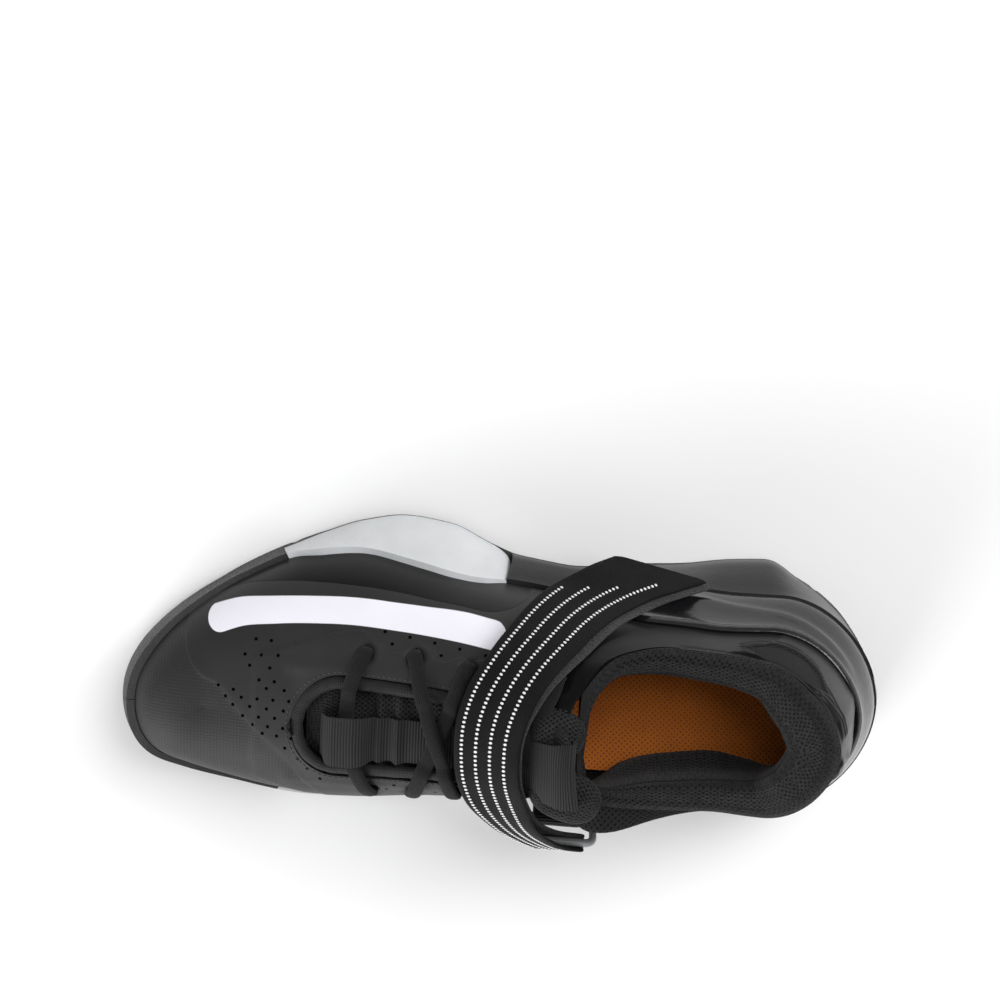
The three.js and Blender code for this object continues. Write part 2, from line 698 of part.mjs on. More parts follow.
function makePadding() {
  const reach = paddingRows[paddingRows.length - 1].at;
  const sections = roundHeel(reach, 17).map(([side, at]) => {
    const inner = -upperWall - 2 * gap;
    const edge = Math.max(collarHeight(at), collarHeight(lastAt(lastX(at, inner))));
    const rise = paddingRise * paddingShape.roll(at);
    const thick = paddingThickness * paddingShape.thick(at);
    const spots = [
      [inner, edge - paddingDepth],
      [inner, edge - 0.5 * paddingDepth],
      [inner, edge + 3 * gap],
      [gap, edge + 3 * gap],
      [2 * gap, edge + 0.5 * rise],
      [-upperWall, edge + rise],
      [inner - 0.6 * thick, edge + 0.85 * rise],
      [inner - thick, edge + 5 * gap - 0.12 * thick],
      [inner - thick, edge - 0.45 * paddingDepth],
      [inner - 0.7 * thick, edge - 0.75 * paddingDepth],
      [inner - 0.2 * thick, edge - paddingDepth],
    ];
    return spots.map(([out, height]) => sidePoint(side, at, height, out));
  });
  return solidOf(geometryOfSections(sections));
}

// The tongue, from under the front of the throat to its padded top. at: along the last. lateral,
// medial: its edges, of the ball width. thick: of its thickness. free: how far its own curve takes
// over from the last. rise: its middle over the instep.
const tongueRows = [
  { at: 0.752, lateral: 0.04, medial: 0.22, thick: 0.5, free: 0, rise: 0.1 },
  { at: 0.72, lateral: -0.05, medial: 0.3, thick: 0.7, free: 0, rise: 0.1 },
  { at: 0.65, lateral: -0.12, medial: 0.345, thick: 0.9, free: 0, rise: 0.1 },
  { at: 0.55, lateral: -0.13, medial: 0.325, thick: 1, free: 0, rise: 0.1 },
  { at: 0.47, lateral: -0.13, medial: 0.31, thick: 1.1, free: 0, rise: 0.1 },
  { at: 0.41, lateral: -0.125, medial: 0.3, thick: 1.2, free: 0, rise: 0.12 },
  { at: 0.386, lateral: -0.115, medial: 0.295, thick: 1.4, free: 0, rise: 0.13 },
  { at: 0.37, lateral: -0.11, medial: 0.295, thick: 1.6, free: 0.4, rise: 0.15 },
  { at: 0.357, lateral: -0.12, medial: 0.3, thick: 1.7, free: 0.9, rise: 0.17 },
  { at: 0.345, lateral: -0.1, medial: 0.28, thick: 1.2, free: 1, rise: 0.17 },
];
const tongueRising = [...tongueRows].reverse();
const tongueShape = columnsOf(tongueRising, ["lateral", "medial", "thick", "free", "rise"]);
const tongueSkew = 0.22; // the top's inner corner lies further back than its outer one
const tongueClearance = 1.1; // under the shell
const tongueSag = 11; // from the middle of the free top to its edges
const tongueMiddle = (at) => ((tongueShape.lateral(at) + tongueShape.medial(at)) / 2) * ballWidth;
const tongueHalf = (at) => ((tongueShape.medial(at) - tongueShape.lateral(at)) / 2) * ballWidth;

// A point of the tongue's face, at a distance across it from the shoe's middle
function tongueSpot(at, y) {
  const skew = tongueSkew * tongueShape.free(at) * (y - tongueMiddle(at));
  const onLast = roofOver(lastX(at), y, -upperWall - tongueClearance);
  const share = (y - tongueMiddle(at)) / tongueHalf(at);
  const free = instepHeight * (1 + tongueShape.rise(at)) - tongueSag * share * share;
  return new THREE.Vector3(lastX(at) - skew, y, mix(onLast, free, tongueShape.free(at)));
}

// The direction the tongue's face looks
function tongueNormal(at, y) {
  const step = 0.004;
  const along = tongueSpot(at + step, y).sub(tongueSpot(at - step, y));
  const across = tongueSpot(at, y + 1).sub(tongueSpot(at, y - 1));
  return along.cross(across).normalize();
}

// A sheet between two lifts off the tongue's face, with its edges across given at each place
function overTongue(places, edges, low, high) {
  const across = 6;
  const sections = places.map((at) => {
    const [from, to] = edges(at);
    const shares = Array.from({ length: across + 1 }, (_, j) => j / across);
    const face = (lift) => (share) => {
      const y = mix(from, to, share);
      return tongueSpot(at, y).addScaledVector(tongueNormal(at, y), lift(at, 2 * share - 1));
    };
    return [...shares.map(face(high)), ...shares.reverse().map(face(low))];
  });
  return solidOf(geometryOfSections(sections));
}

// The tongue's stations, front to back: two to each step of its table
const tonguePlaces = tongueRows
  .slice(1)
  .flatMap((row, i) => [0, 0.5].map((share) => mix(tongueRows[i].at, row.at, share)))
  .concat(tongueRows[tongueRows.length - 1].at);

function makeTongue() {
  const edges = (at) => [tongueShape.lateral(at) * ballWidth, tongueShape.medial(at) * ballWidth];
  const under = (at, share) =>
    -tongueThickness * tongueShape.thick(at) * (0.3 + 0.7 * Math.sqrt(1 - share * share));
  return overTongue(tonguePlaces, edges, under, () => 0);
}

// Stations of a path given as plan points with a lift over the last
function overLast(points) {
  const spots = points.map(({ x, y, lift }) =>
    new THREE.Vector3(x, y, roofOver(x, y)).addScaledVector(roofNormal(x, y), lift),
  );
  return stationsOf(spots, (i) => roofNormal(points[i].x, points[i].y));
}

// Stations of a path of points: the centre, the direction across and the direction it faces
function stationsOf(spots, facing) {
  return spots.map((centre, i) => {
    const before = spots[Math.max(0, i - 1)];
    const after = spots[Math.min(spots.length - 1, i + 1)];
    const along = after.clone().sub(before).normalize();
    const across = new THREE.Vector3().crossVectors(facing(i), along).normalize();
    const out = new THREE.Vector3().crossVectors(along, across);
    return { centre, across, out };
  });
}

const sectionAt = ({ centre, across, out }, outline) =>
  outline.map(([a, o]) => centre.clone().addScaledVector(across, a).addScaledVector(out, o));

const flatSection = (width, thick) => [
  [-width / 2, -thick / 2],
  [width / 2, -thick / 2],
  [width / 2, thick / 2],
  [-width / 2, thick / 2],
];
const roundSection = (width, height, corners = 6) =>
  Array.from({ length: corners }, (_, i) => {
    const angle = (2 * Math.PI * i) / corners;
    return [(width / 2) * Math.cos(angle), (height / 2) * Math.sin(angle)];
  });

const sweep = (path, outline, closed = false) =>
  solidOf(geometryOfSections(path.map((station) => sectionAt(station, outline)), closed));

// The padded lip round the throat: it fills the throat's edge and stands a little over the shell
function makeBinding() {
  const path = throatOutline(collarFront + 1, 0).map(([x, y]) => ({ x, y, lift: -gap }));
  return sweep(overLast(path), roundSection(bindingWidth, bindingHeight));
}

// Laces. Over the binding they ride at laceLift, in the middle they sink towards the tongue.
const bindingTop = bindingHeight / 2 - gap;
const laceLift = bindingTop + 2 * gap + laceHeight / 2;
const laceEnd = 2 * gap + laceHeight / 2;
const laceSink = 2; // how far a strand sinks in the middle
const laceCross = 0.85 * laceHeight; // the upper strand of a crossing over the lower one

function strand(from, to, bow, rise) {
  const steps = 12;
  const points = Array.from({ length: steps + 1 }, (_, i) => {
    const share = i / steps;
    const middle = Math.sin(Math.PI * share);
    const x = mix(from.x, to.x, share) + bow * middle;
    const y = mix(from.y, to.y, share);
    const half = (throatShape.width(lastAt(x)) * throatWidth) / 2;
    const edge = Math.abs(y - throatMiddle(x)) / half;
    const over = mix(laceLift - laceSink, laceLift, smoothStep(edge, 0.62, 0.86));
    return { x, y, lift: mix(over, laceEnd, smoothStep(edge, 1.25, 1.6)) + rise * middle ** 4 };
  });
  return sweep(overLast(points), roundSection(laceWidth, laceHeight));
}

const barBow = 8; // how far the front bar bows to the toe

function makeBar() {
  const [front] = eyeletRows;
  return strand(eyelet(front, lateralSide), eyelet(front, medialSide), barBow, 0);
}

function makeCrossing(front, rear) {
  const lower = strand(eyelet(front, medialSide), eyelet(rear, lateralSide), 0, 0);
  return lower.add(strand(eyelet(front, lateralSide), eyelet(rear, medialSide), 0, laceCross));
}

// The ribbed webbing along the tongue. at: along the last. arch: over the tongue, of the arch it
// makes over the front lace.
const webbingRows = [
  { at: 0.73, arch: 0 },
  { at: 0.715, arch: 0.8 },
  { at: 0.703, arch: 1 },
  { at: 0.68, arch: 1 },
  { at: 0.667, arch: 0.8 },
  { at: 0.652, arch: 0 },
];
const webbingArch = column([...webbingRows].reverse(), "arch");
const archHeight = upperWall + tongueClearance + laceLift - laceSink / 2 + laceHeight / 2 + gap;
const webbingShift = 3.4; // its middle, towards the inner side of the throat's

function makeWebbing() {
  const arched = webbingRows.map((row) => row.at);
  const plain = tonguePlaces.filter((at) => at < arched[arched.length - 1]);
  const middle = (at) => throatMiddle(lastX(at)) + webbingShift;
  const edges = (at) => [middle(at) - webbingWidth / 2, middle(at) + webbingWidth / 2];
  const low = (at) => gap + archHeight * webbingArch(at);
  return overTongue([...arched, ...plain], edges, low, (at) => low(at) + webbingThickness);
}

// The strap's upper layer, from its free end on the lateral side over the instep to the loop. Both
// edges, front and rear, along the sole's length, across its ball width and up its instep height.
const strapRows = [
  { frontX: 0.362, frontY: -0.475, frontZ: 0.375, rearX: 0.24, rearY: -0.4, rearZ: 0.387 },
  { frontX: 0.397, frontY: -0.447, frontZ: 0.455, rearX: 0.275, rearY: -0.385, rearZ: 0.477 },
  { frontX: 0.438, frontY: -0.4, frontZ: 0.55, rearX: 0.315, rearY: -0.36, rearZ: 0.58 },
  { frontX: 0.471, frontY: -0.342, frontZ: 0.69, rearX: 0.363, rearY: -0.32, rearZ: 0.76 },
  { frontX: 0.497, frontY: -0.278, frontZ: 0.81, rearX: 0.402, rearY: -0.245, rearZ: 0.925 },
  { frontX: 0.518, frontY: -0.206, frontZ: 0.89, rearX: 0.434, rearY: -0.167, rearZ: 1.03 },
  { frontX: 0.539, frontY: -0.118, frontZ: 0.94, rearX: 0.453, rearY: -0.083, rearZ: 1.075 },
  { frontX: 0.55, frontY: -0.018, frontZ: 0.962, rearX: 0.465, rearY: 0.004, rearZ: 1.09 },
  { frontX: 0.552, frontY: 0.092, frontZ: 0.97, rearX: 0.468, rearY: 0.092, rearZ: 1.09 },
  { frontX: 0.547, frontY: 0.184, frontZ: 0.95, rearX: 0.465, rearY: 0.189, rearZ: 1.055 },
  { frontX: 0.532, frontY: 0.276, frontZ: 0.885, rearX: 0.453, rearY: 0.294, rearZ: 0.93 },
  { frontX: 0.503, frontY: 0.355, frontZ: 0.772, rearX: 0.438, rearY: 0.372, rearZ: 0.8 },
  { frontX: 0.468, frontY: 0.426, frontZ: 0.63, rearX: 0.412, rearY: 0.436, rearZ: 0.64 },
  { frontX: 0.452, frontY: 0.456, frontZ: 0.56, rearX: 0.38, rearY: 0.466, rearZ: 0.545 },
];
const strapEdge = (end) =>
  new THREE.CatmullRomCurve3(
    strapRows.map(
      (row) =>
        new THREE.Vector3(
          soleBack + row[`${end}X`] * soleLength,
          row[`${end}Y`] * soleBallWidth,
          row[`${end}Z`] * instepHeight,
        ),
    ),
  );
const strapFront = strapEdge("front");
const strapRear = strapEdge("rear");
const foldAcross = loopWire + 2 * gap + strapThickness; // between the two layers at the loop
const pileShows = 3.2; // how far the under layer shows past the rear edge of the free end

// One station of the strap's upper layer
function strapStation(share) {
  const middleAt = (u) => strapFront.getPoint(u).add(strapRear.getPoint(u)).multiplyScalar(0.5);
  const step = 0.01;
  const centre = middleAt(share);
  const along = middleAt(Math.min(1, share + step)).sub(middleAt(Math.max(0, share - step)));
  const edge = strapFront.getPoint(share).sub(strapRear.getPoint(share));
  const across = edge.clone().normalize();
  const out = new THREE.Vector3().crossVectors(along, edge).normalize();
  return { centre, across, out, width: edge.length(), along: along.projectOnPlane(across).normalize() };
}

const loopStation = strapStation(1);
const loopCentre = loopStation.centre.clone().addScaledVector(loopStation.out, -foldAcross / 2);

function makeStrap() {
  const steps = 34;
  const section = ({ centre, across, out, width }) =>
    sectionAt({ centre, across, out }, flatSection(width, strapThickness));
  const shares = Array.from({ length: steps + 1 }, (_, i) => i / steps);
  const upper = shares.map((share) => section(strapStation(share)));
  const turnSteps = 6;
  const turned = Array.from({ length: turnSteps - 1 }, (_, i) => {
    const angle = (Math.PI * (i + 1)) / turnSteps;
    const out = loopStation.out
      .clone()
      .multiplyScalar(Math.cos(angle))
      .addScaledVector(loopStation.along, Math.sin(angle));
    const centre = loopCentre.clone().addScaledVector(out, foldAcross / 2);
    return section({ ...loopStation, centre, out });
  });
  const under = shares.reverse().map((share) => {
    const station = strapStation(share);
    const apart = mix(strapThickness + gap, foldAcross, smoothStep(share, 0.7, 1));
    station.centre.addScaledVector(station.out, -apart);
    station.centre.addScaledVector(station.across, -pileShows * (1 - smoothStep(share, 0.1, 0.5)));
    station.out.negate();
    return section(station);
  });
  return solidOf(geometryOfSections([...upper, ...turned, ...under]));
}

// The loop the strap turns through, hung from a folded tab on the inner side of the sole
const tabFoot = new THREE.Vector3(loopCentre.x, 0.36 * soleBallWidth, heelHeight - 3);
const tabRun = tabFoot.clone().sub(loopCentre).projectOnPlane(loopStation.across).normalize();
const lowerBar = loopCentre.clone().addScaledVector(tabRun, loopReach + loopWire);

function makeLoop() {
  const half = loopStation.width / 2 + gap + loopWire;
  const corner = loopWire;
  const cornerSteps = 3;
  const spots = [];
  const height = loopReach + loopWire;
  const corners = [
    [half - corner, corner, -Math.PI / 2],
    [half - corner, height - corner, 0],
    [corner - half, height - corner, Math.PI / 2],
    [corner - half, corner, Math.PI],
  ];
  for (const [a, d, start] of corners) {
    for (let i = 0; i <= cornerSteps; i += 1) {
      const angle = start + (Math.PI / 2) * (i / cornerSteps);
      spots.push(
        loopCentre
          .clone()
          .addScaledVector(loopStation.across, a + corner * Math.cos(angle))
          .addScaledVector(tabRun, d + corner * Math.sin(angle)),
      );
    }
  }
  const facing = new THREE.Vector3().crossVectors(loopStation.across, tabRun);
  const path = spots.map((centre, i) => {
    const before = spots[(i + spots.length - 1) % spots.length];
    const after = spots[(i + 1) % spots.length];
    const along = after.clone().sub(before).normalize();
    return { centre, across: new THREE.Vector3().crossVectors(facing, along), out: facing };
  });
  return sweep(path, roundSection(loopWire, loopWire, 8), true);
}

function makeTab() {
  const facing = new THREE.Vector3().crossVectors(loopStation.across, tabRun);
  const length = tabFoot.clone().sub(lowerBar).dot(tabRun);
  const apart = (share) => mix(foldAcross, webbingThickness + gap, smoothStep(share, 0, 0.7)) / 2;
  const shares = [1, 0.7, 0.45, 0.25, 0.1, 0];
  const leg = (side) =>
    shares.map((share) => ({
      centre: lowerBar
        .clone()
        .addScaledVector(tabRun, share * length)
        .addScaledVector(facing, side * apart(share)),
      across: loopStation.across,
      out: facing.clone().multiplyScalar(side),
    }));
  const turnSteps = 6;
  const turned = Array.from({ length: turnSteps - 1 }, (_, i) => {
    const angle = (Math.PI * (i + 1)) / turnSteps;
    const out = facing
      .clone()
      .multiplyScalar(Math.cos(angle))
      .addScaledVector(tabRun, -Math.sin(angle));
    const centre = lowerBar.clone().addScaledVector(out, foldAcross / 2);
    return { centre, across: loopStation.across, out };
  });
  const path = [...leg(1), ...turned, ...leg(-1).reverse()];
  return sweep(path, flatSection(loopStation.width - loopWire, webbingThickness));
}

const parts = soleParts();
const shoe = new THREE.Group();

const finishes = {
  rubber: new THREE.MeshStandardMaterial({ color: 0x1c1c1e, roughness: 0.75 }),
  foam: new THREE.MeshStandardMaterial({ color: 0xc9cacc, roughness: 0.6 }),
  heel: new THREE.MeshStandardMaterial({ color: 0x17171a, roughness: 0.45 }),
  clip: new THREE.MeshStandardMaterial({ color: 0x141418, roughness: 0.25 }),
  shell: new THREE.MeshStandardMaterial({ color: 0x2a2a2c, roughness: 0.5 }),
  mesh: new THREE.MeshStandardMaterial({ color: 0x1b1b1d, roughness: 0.9 }),
  insole: new THREE.MeshStandardMaterial({ color: 0xc9701f, roughness: 0.85 }),
  binding: new THREE.MeshStandardMaterial({ color: 0x1d1d1f, roughness: 0.7 }),
  lace: new THREE.MeshStandardMaterial({ color: 0x121213, roughness: 0.85 }),
  webbing: new THREE.MeshStandardMaterial({ color: 0x2c2c2e, roughness: 0.8 }),
  strap: new THREE.MeshStandardMaterial({ color: 0x232325, roughness: 0.75 }),
  loop: new THREE.MeshStandardMaterial({ color: 0xb5b6b8, roughness: 0.4 }),
};

function add(name, solid, finish) {
  const mesh = new THREE.Mesh(geometryOf(solid), finish);
  mesh.name = name;
  shoe.add(mesh);
}

add("outsole", parts.rubber, finishes.rubber);
add("midsole", parts.foam, finishes.foam);
add("heel_block", parts.heel, finishes.heel);
add("heel_clip", makeClip(), finishes.clip);
add("upper", makeUpper(), finishes.shell);
add("insole", makeInsole(), finishes.insole);
add("collar_padding", makePadding(), finishes.mesh);
add("tongue", makeTongue(), finishes.mesh);
add("throat_binding", makeBinding(), finishes.binding);
add("lace_bar", makeBar(), finishes.lace);
add("lace_crossing_front", makeCrossing(eyeletRows[1], eyeletRows[2]), finishes.lace);
add("lace_crossing_rear", makeCrossing(eyeletRows[3], eyeletRows[4]), finishes.lace);
add("tongue_webbing", makeWebbing(), finishes.webbing);
add("strap", makeStrap(), finishes.strap);
add("strap_loop", makeLoop(), finishes.loop);
add("loop_tab", makeTab(), finishes.webbing);

export default shoe;
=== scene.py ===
import math

import bmesh
import bpy
import numpy as np
from mathutils import Matrix, Vector
from mathutils.bvhtree import BVHTree


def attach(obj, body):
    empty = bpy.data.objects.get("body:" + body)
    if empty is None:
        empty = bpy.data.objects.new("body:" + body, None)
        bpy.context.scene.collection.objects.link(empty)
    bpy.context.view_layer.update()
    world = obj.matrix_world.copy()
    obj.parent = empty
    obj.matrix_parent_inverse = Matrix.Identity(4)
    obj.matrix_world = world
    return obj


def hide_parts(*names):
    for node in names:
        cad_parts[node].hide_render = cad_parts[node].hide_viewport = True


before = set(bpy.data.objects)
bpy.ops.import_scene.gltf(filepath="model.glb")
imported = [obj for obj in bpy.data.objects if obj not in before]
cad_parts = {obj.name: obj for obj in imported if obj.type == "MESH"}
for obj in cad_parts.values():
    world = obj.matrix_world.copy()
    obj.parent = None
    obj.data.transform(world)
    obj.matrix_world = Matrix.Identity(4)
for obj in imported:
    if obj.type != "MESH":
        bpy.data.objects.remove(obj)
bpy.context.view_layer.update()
mm = 0.001  # every form below is worked out in millimetres and made in metres

# Driving sizes, the same as the solids'
size = {
    "soleLength": 298, "heelCentre": 46, "heelFlare": 11, "toeLip": 5,
    "ballWidth": 96, "heelWidth": 67, "soleBallWidth": 114, "soleHeelWidth": 95,
    "heelHeight": 30, "forefootHeight": 13, "toeSpring": 6.5, "soleToeSpring": 8,
    "archLift": 3, "instepHeight": 88, "collarBack": 97, "collarSide": 77,
    "wall": 2.4, "gap": 0.3, "throatWidth": 33, "tread": 4.5, "insole": 4.5,
}
lastLength = size["soleLength"] - size["heelFlare"] - size["toeLip"]
lastBack = size["heelFlare"] - size["heelCentre"]
soleBack = -size["heelCentre"]
lateral, medial = -1, 1

# Sections of the last, as shares, in plan and in height
lastPlan = {
    "at": [0, 0.06, 0.12, 0.22, 0.32, 0.42, 0.52, 0.61, 0.69, 0.77, 0.85, 0.92, 1],
    "lateral": [1, 1, 1, 1, 0.91, 0.82, 0.86, 0.97, 1.04, 1.02, 0.94, 0.92, 0.95],
    "medial": [1, 1, 1, 0.97, 0.87, 0.78, 0.84, 0.93, 0.98, 1, 0.96, 0.92, 0.95],
    "axis": [0, 0, 0, 0, 0, 0, 0, 0, 0, 0.005, 0.03, 0.075, 0.125],
    "crown": [0.02, 0.02, 0.02, 0.04, 0.07, 0.09, 0.11, 0.115, 0.12, 0.12, 0.11, 0.1, 0.1],
    "rise": [1, 1, 1, 0.92, 0.73, 0.48, 0.26, 0.1, 0.02, 0, 0, 0, 0],
    "spring": [0, 0, 0, 0, 0, 0, 0, 0, 0, 0, 0.15, 0.45, 1],
    "ridge": [1.36, 1.36, 1.35, 1.28, 1.15, 1.01, 0.885, 0.775, 0.69, 0.615, 0.545, 0.49, 0.45],
    "square": [6, 6, 6, 5, 3.6, 2.9, 2.45, 2.3, 2.3, 2.35, 2.4, 2.4, 2.4],
    "lean": [0.4, 0.34, 0.27, 0.2, 0.08, 0, 0, 0, 0, 0, 0, 0, 0],
}
lastEnds = {"heelRun": 0.13, "heelPower": 1.85, "toeRun": 0.31, "toePower": 2.15}

# Sections of the sole, as shares
solePlan = {
    "at": [0, 0.03, 0.055, 0.11, 0.15, 0.2, 0.26, 0.34, 0.42, 0.48, 0.52, 0.575, 0.635, 0.69,
           0.74, 0.79, 0.84, 0.89, 0.94, 1],
    "lateral": [0.85, 0.93, 0.99, 1.01, 1.075, 1.06, 1.005, 0.93, 0.85, 0.86, 0.92, 1.045, 1.085,
                1.035, 0.95, 0.875, 0.835, 0.8, 0.8, 0.85],
    "medial": [1.11, 1.07, 1, 0.94, 0.92, 0.92, 0.87, 0.74, 0.69, 0.75, 0.8, 0.88, 0.92, 0.915,
               0.905, 0.89, 0.857, 0.835, 0.8, 0.78],
    "axis": [0, 0, 0, 0, 0, 0, 0, 0, 0, 0, 0, 0, 0, 0, 0.001, 0.009, 0.03, 0.055, 0.083, 0.114],
    "arch": [0, 0, 0, 0, 0, 0, 0, 0.15, 1, 0.7, 0.3, 0, 0, 0, 0, 0, 0, 0, 0, 0],
    "toe": [0, 0, 0, 0, 0, 0, 0, 0, 0, 0, 0, 0, 0, 0, 0, 0.01, 0.08, 0.35, 0.68, 1],
    "rimLateral": [0, 0, 0, 0, 0, 0, 0, 0.05, 0.1, 0.3, 0.8, 1, 0.85, 0.7, 0.75, 0.5, 0.42, 0.52,
                   0.65, 0.8],
    "rimMedial": [0, 0, 0, 0, 0, 0, 0, 0.05, 0.2, 0.4, 0.45, 0.5, 0.55, 0.55, 0.55, 0.5, 0.45,
                  0.55, 0.65, 0.8],
}
soleEnds = {"heelRun": 0.16, "heelPower": 1.6, "toeRun": 0.31, "toePower": 2.15}
soleSide = {"height": [0, 0.12, 0.3, 0.62, 0.86, 1], "inset": [0.22, 0.02, 0, 0.3, 0.72, 1]}


def mix(a, b, share):
    return a + (b - a) * share


def smoothStep(value, low, high):
    t = np.clip((value - low) / (high - low), 0, 1)
    return t * t * (3 - 2 * t)


def column(table, name, place="at"):  # a smooth curve through one named column
    x = np.array(table[place], float)
    y = np.array(table[name], float)
    step = np.diff(y) / np.diff(x)
    slope = np.zeros(len(x))
    turning = step[:-1] * step[1:] > 0
    slope[1:-1][turning] = (2 * step[:-1] * step[1:] / (step[:-1] + step[1:] + 1e-12))[turning]

    def curve(where):
        where = np.clip(np.asarray(where, float), x[0], x[-1])
        i = np.clip(np.searchsorted(x, where, side="right") - 1, 0, len(x) - 2)
        run = x[i + 1] - x[i]
        t = (where - x[i]) / run
        keep = t * t * (3 - 2 * t)
        ends = slope[i] * t * (1 - t) ** 2 * run + slope[i + 1] * t * t * (t - 1) * run
        return y[i] * (1 - keep) + y[i + 1] * keep + ends

    return curve


last = {name: column(lastPlan, name) for name in lastPlan if name != "at"}
sole = {name: column(solePlan, name) for name in solePlan if name != "at"}
soleInset = column(soleSide, "inset", "height")


def roundOff(at, ends):  # how an outline rounds off at both ends
    heel = np.maximum(0, 1 - at / ends["heelRun"])
    toe = np.maximum(0, 1 - (1 - at) / ends["toeRun"])
    atHeel = np.maximum(0, 1 - heel ** ends["heelPower"]) ** (1 / ends["heelPower"])
    return atHeel * np.maximum(0, 1 - toe ** ends["toePower"]) ** (1 / ends["toePower"])


def ridgePlace(at):  # the ridge keeps to the stretch between the heel's cone and the toe's
    heelCone, toeCone, softness = 0.13, 0.9, 0.04
    fromHeel = (at + heelCone + np.hypot(at - heelCone, softness)) / 2
    return (fromHeel + toeCone - np.hypot(fromHeel - toeCone, softness)) / 2


def lastX(at, out=0):
    return lastBack - out + at * (lastLength + 2 * out)


def lastAt(x):
    return (x - lastBack) / lastLength


def featherHeight(at):
    rise = mix(size["forefootHeight"], size["heelHeight"], last["rise"](at))
    return rise + size["toeSpring"] * last["spring"](at)


def meridian(side, at, out=0):  # from its foot on the lower edge up to the ridge
    width = mix(size["heelWidth"], size["ballWidth"], smoothStep(at, 0.18, 0.5))
    share = np.where(side < 0, last["lateral"](at), last["medial"](at))
    half = (share * width / 2 + out) * roundOff(at, lastEnds)
    top = ridgePlace(at)
    return {
        "footX": lastX(at, out), "footY": last["axis"](at) * size["ballWidth"] + side * half,
        "coneX": lastX(top, out), "coneY": last["crown"](top) * size["ballWidth"],
        "low": featherHeight(at), "high": last["ridge"](top) * size["instepHeight"] + out,
        "square": last["square"](at), "lean": last["lean"](at),
    }


def pointAt(line, share):
    share = np.clip(share, 0, 1)
    reach = (1 - share ** line["square"]) ** (1 / line["square"])
    reach = reach * (1 - line["lean"] * share * share)
    return np.stack([mix(line["coneX"], line["footX"], reach),
                     mix(line["coneY"], line["footY"], reach),
                     mix(line["low"], line["high"], share)], axis=-1)


def sidePoint(side, at, height, out):
    line = meridian(side, at, out)
    return pointAt(line, (height - line["low"]) / (line["high"] - line["low"]))


def roofOver(x, y, out=0):  # the last's surface over a point of the plan
    at = lastAt(x)
    line = meridian(np.where(y < last["crown"](at) * size["ballWidth"], lateral, medial), at, out)
    reach = np.minimum(1, np.abs(y - line["coneY"]) / np.abs(line["footY"] - line["coneY"]))
    share = (1 - reach ** line["square"]) ** (1 / line["square"])
    return mix(line["low"], line["high"], share)


def unit(v):
    return v / np.maximum(np.linalg.norm(v, axis=-1, keepdims=True), 1e-9)


def roofNormal(x, y):
    alongX = (roofOver(x + 1, y) - roofOver(x - 1, y)) / 2
    alongY = (roofOver(x, y + 1) - roofOver(x, y - 1)) / 2
    return unit(np.stack([-alongX, -alongY, np.ones_like(alongX)], axis=-1))


def onRoof(x, y, lift):
    x, y = np.asarray(x, float), np.asarray(y, float)
    spot = np.stack([x, y, roofOver(x, y)], axis=-1)
    return spot + roofNormal(x, y) * np.asarray(lift, float)[..., None]


def cosineSteps(count):  # from 0 to 1, closer together at both ends
    return 0.5 - 0.5 * np.cos(np.pi * np.linspace(0, 1, count + 1))


def throughPoints(points, count):  # a smooth line through a few points
    points = np.asarray(points, float)
    t = np.linspace(0, len(points) - 1, count)
    i = np.minimum(t.astype(int), len(points) - 2)
    f = (t - i)[:, None]
    before, after = np.maximum(i - 1, 0), np.minimum(i + 2, len(points) - 1)
    a, b, c, d = points[before], points[i], points[i + 1], points[after]
    curved = 2 * b + (c - a) * f + (2 * a - 5 * b + 4 * c - d) * f**2
    return 0.5 * (curved + (3 * b - a - 3 * c + d) * f**3)


def awayFromLine(points, line):  # signed distance in plan, positive on the left of the line
    nearest = np.full(len(points), 1e9)
    signed = np.zeros(len(points))
    for a, b in zip(line[:-1], line[1:]):
        run = b - a
        t = np.clip(((points - a) @ run) / (run @ run), 0, 1)
        off = points - (a + t[:, None] * run)
        distance = np.linalg.norm(off, axis=1)
        closer = distance < nearest
        turn = run[0] * (points[:, 1] - a[1]) - run[1] * (points[:, 0] - a[0])
        signed = np.where(closer, np.where(turn < 0, -distance, distance), signed)
        nearest = np.where(closer, distance, nearest)
    return signed


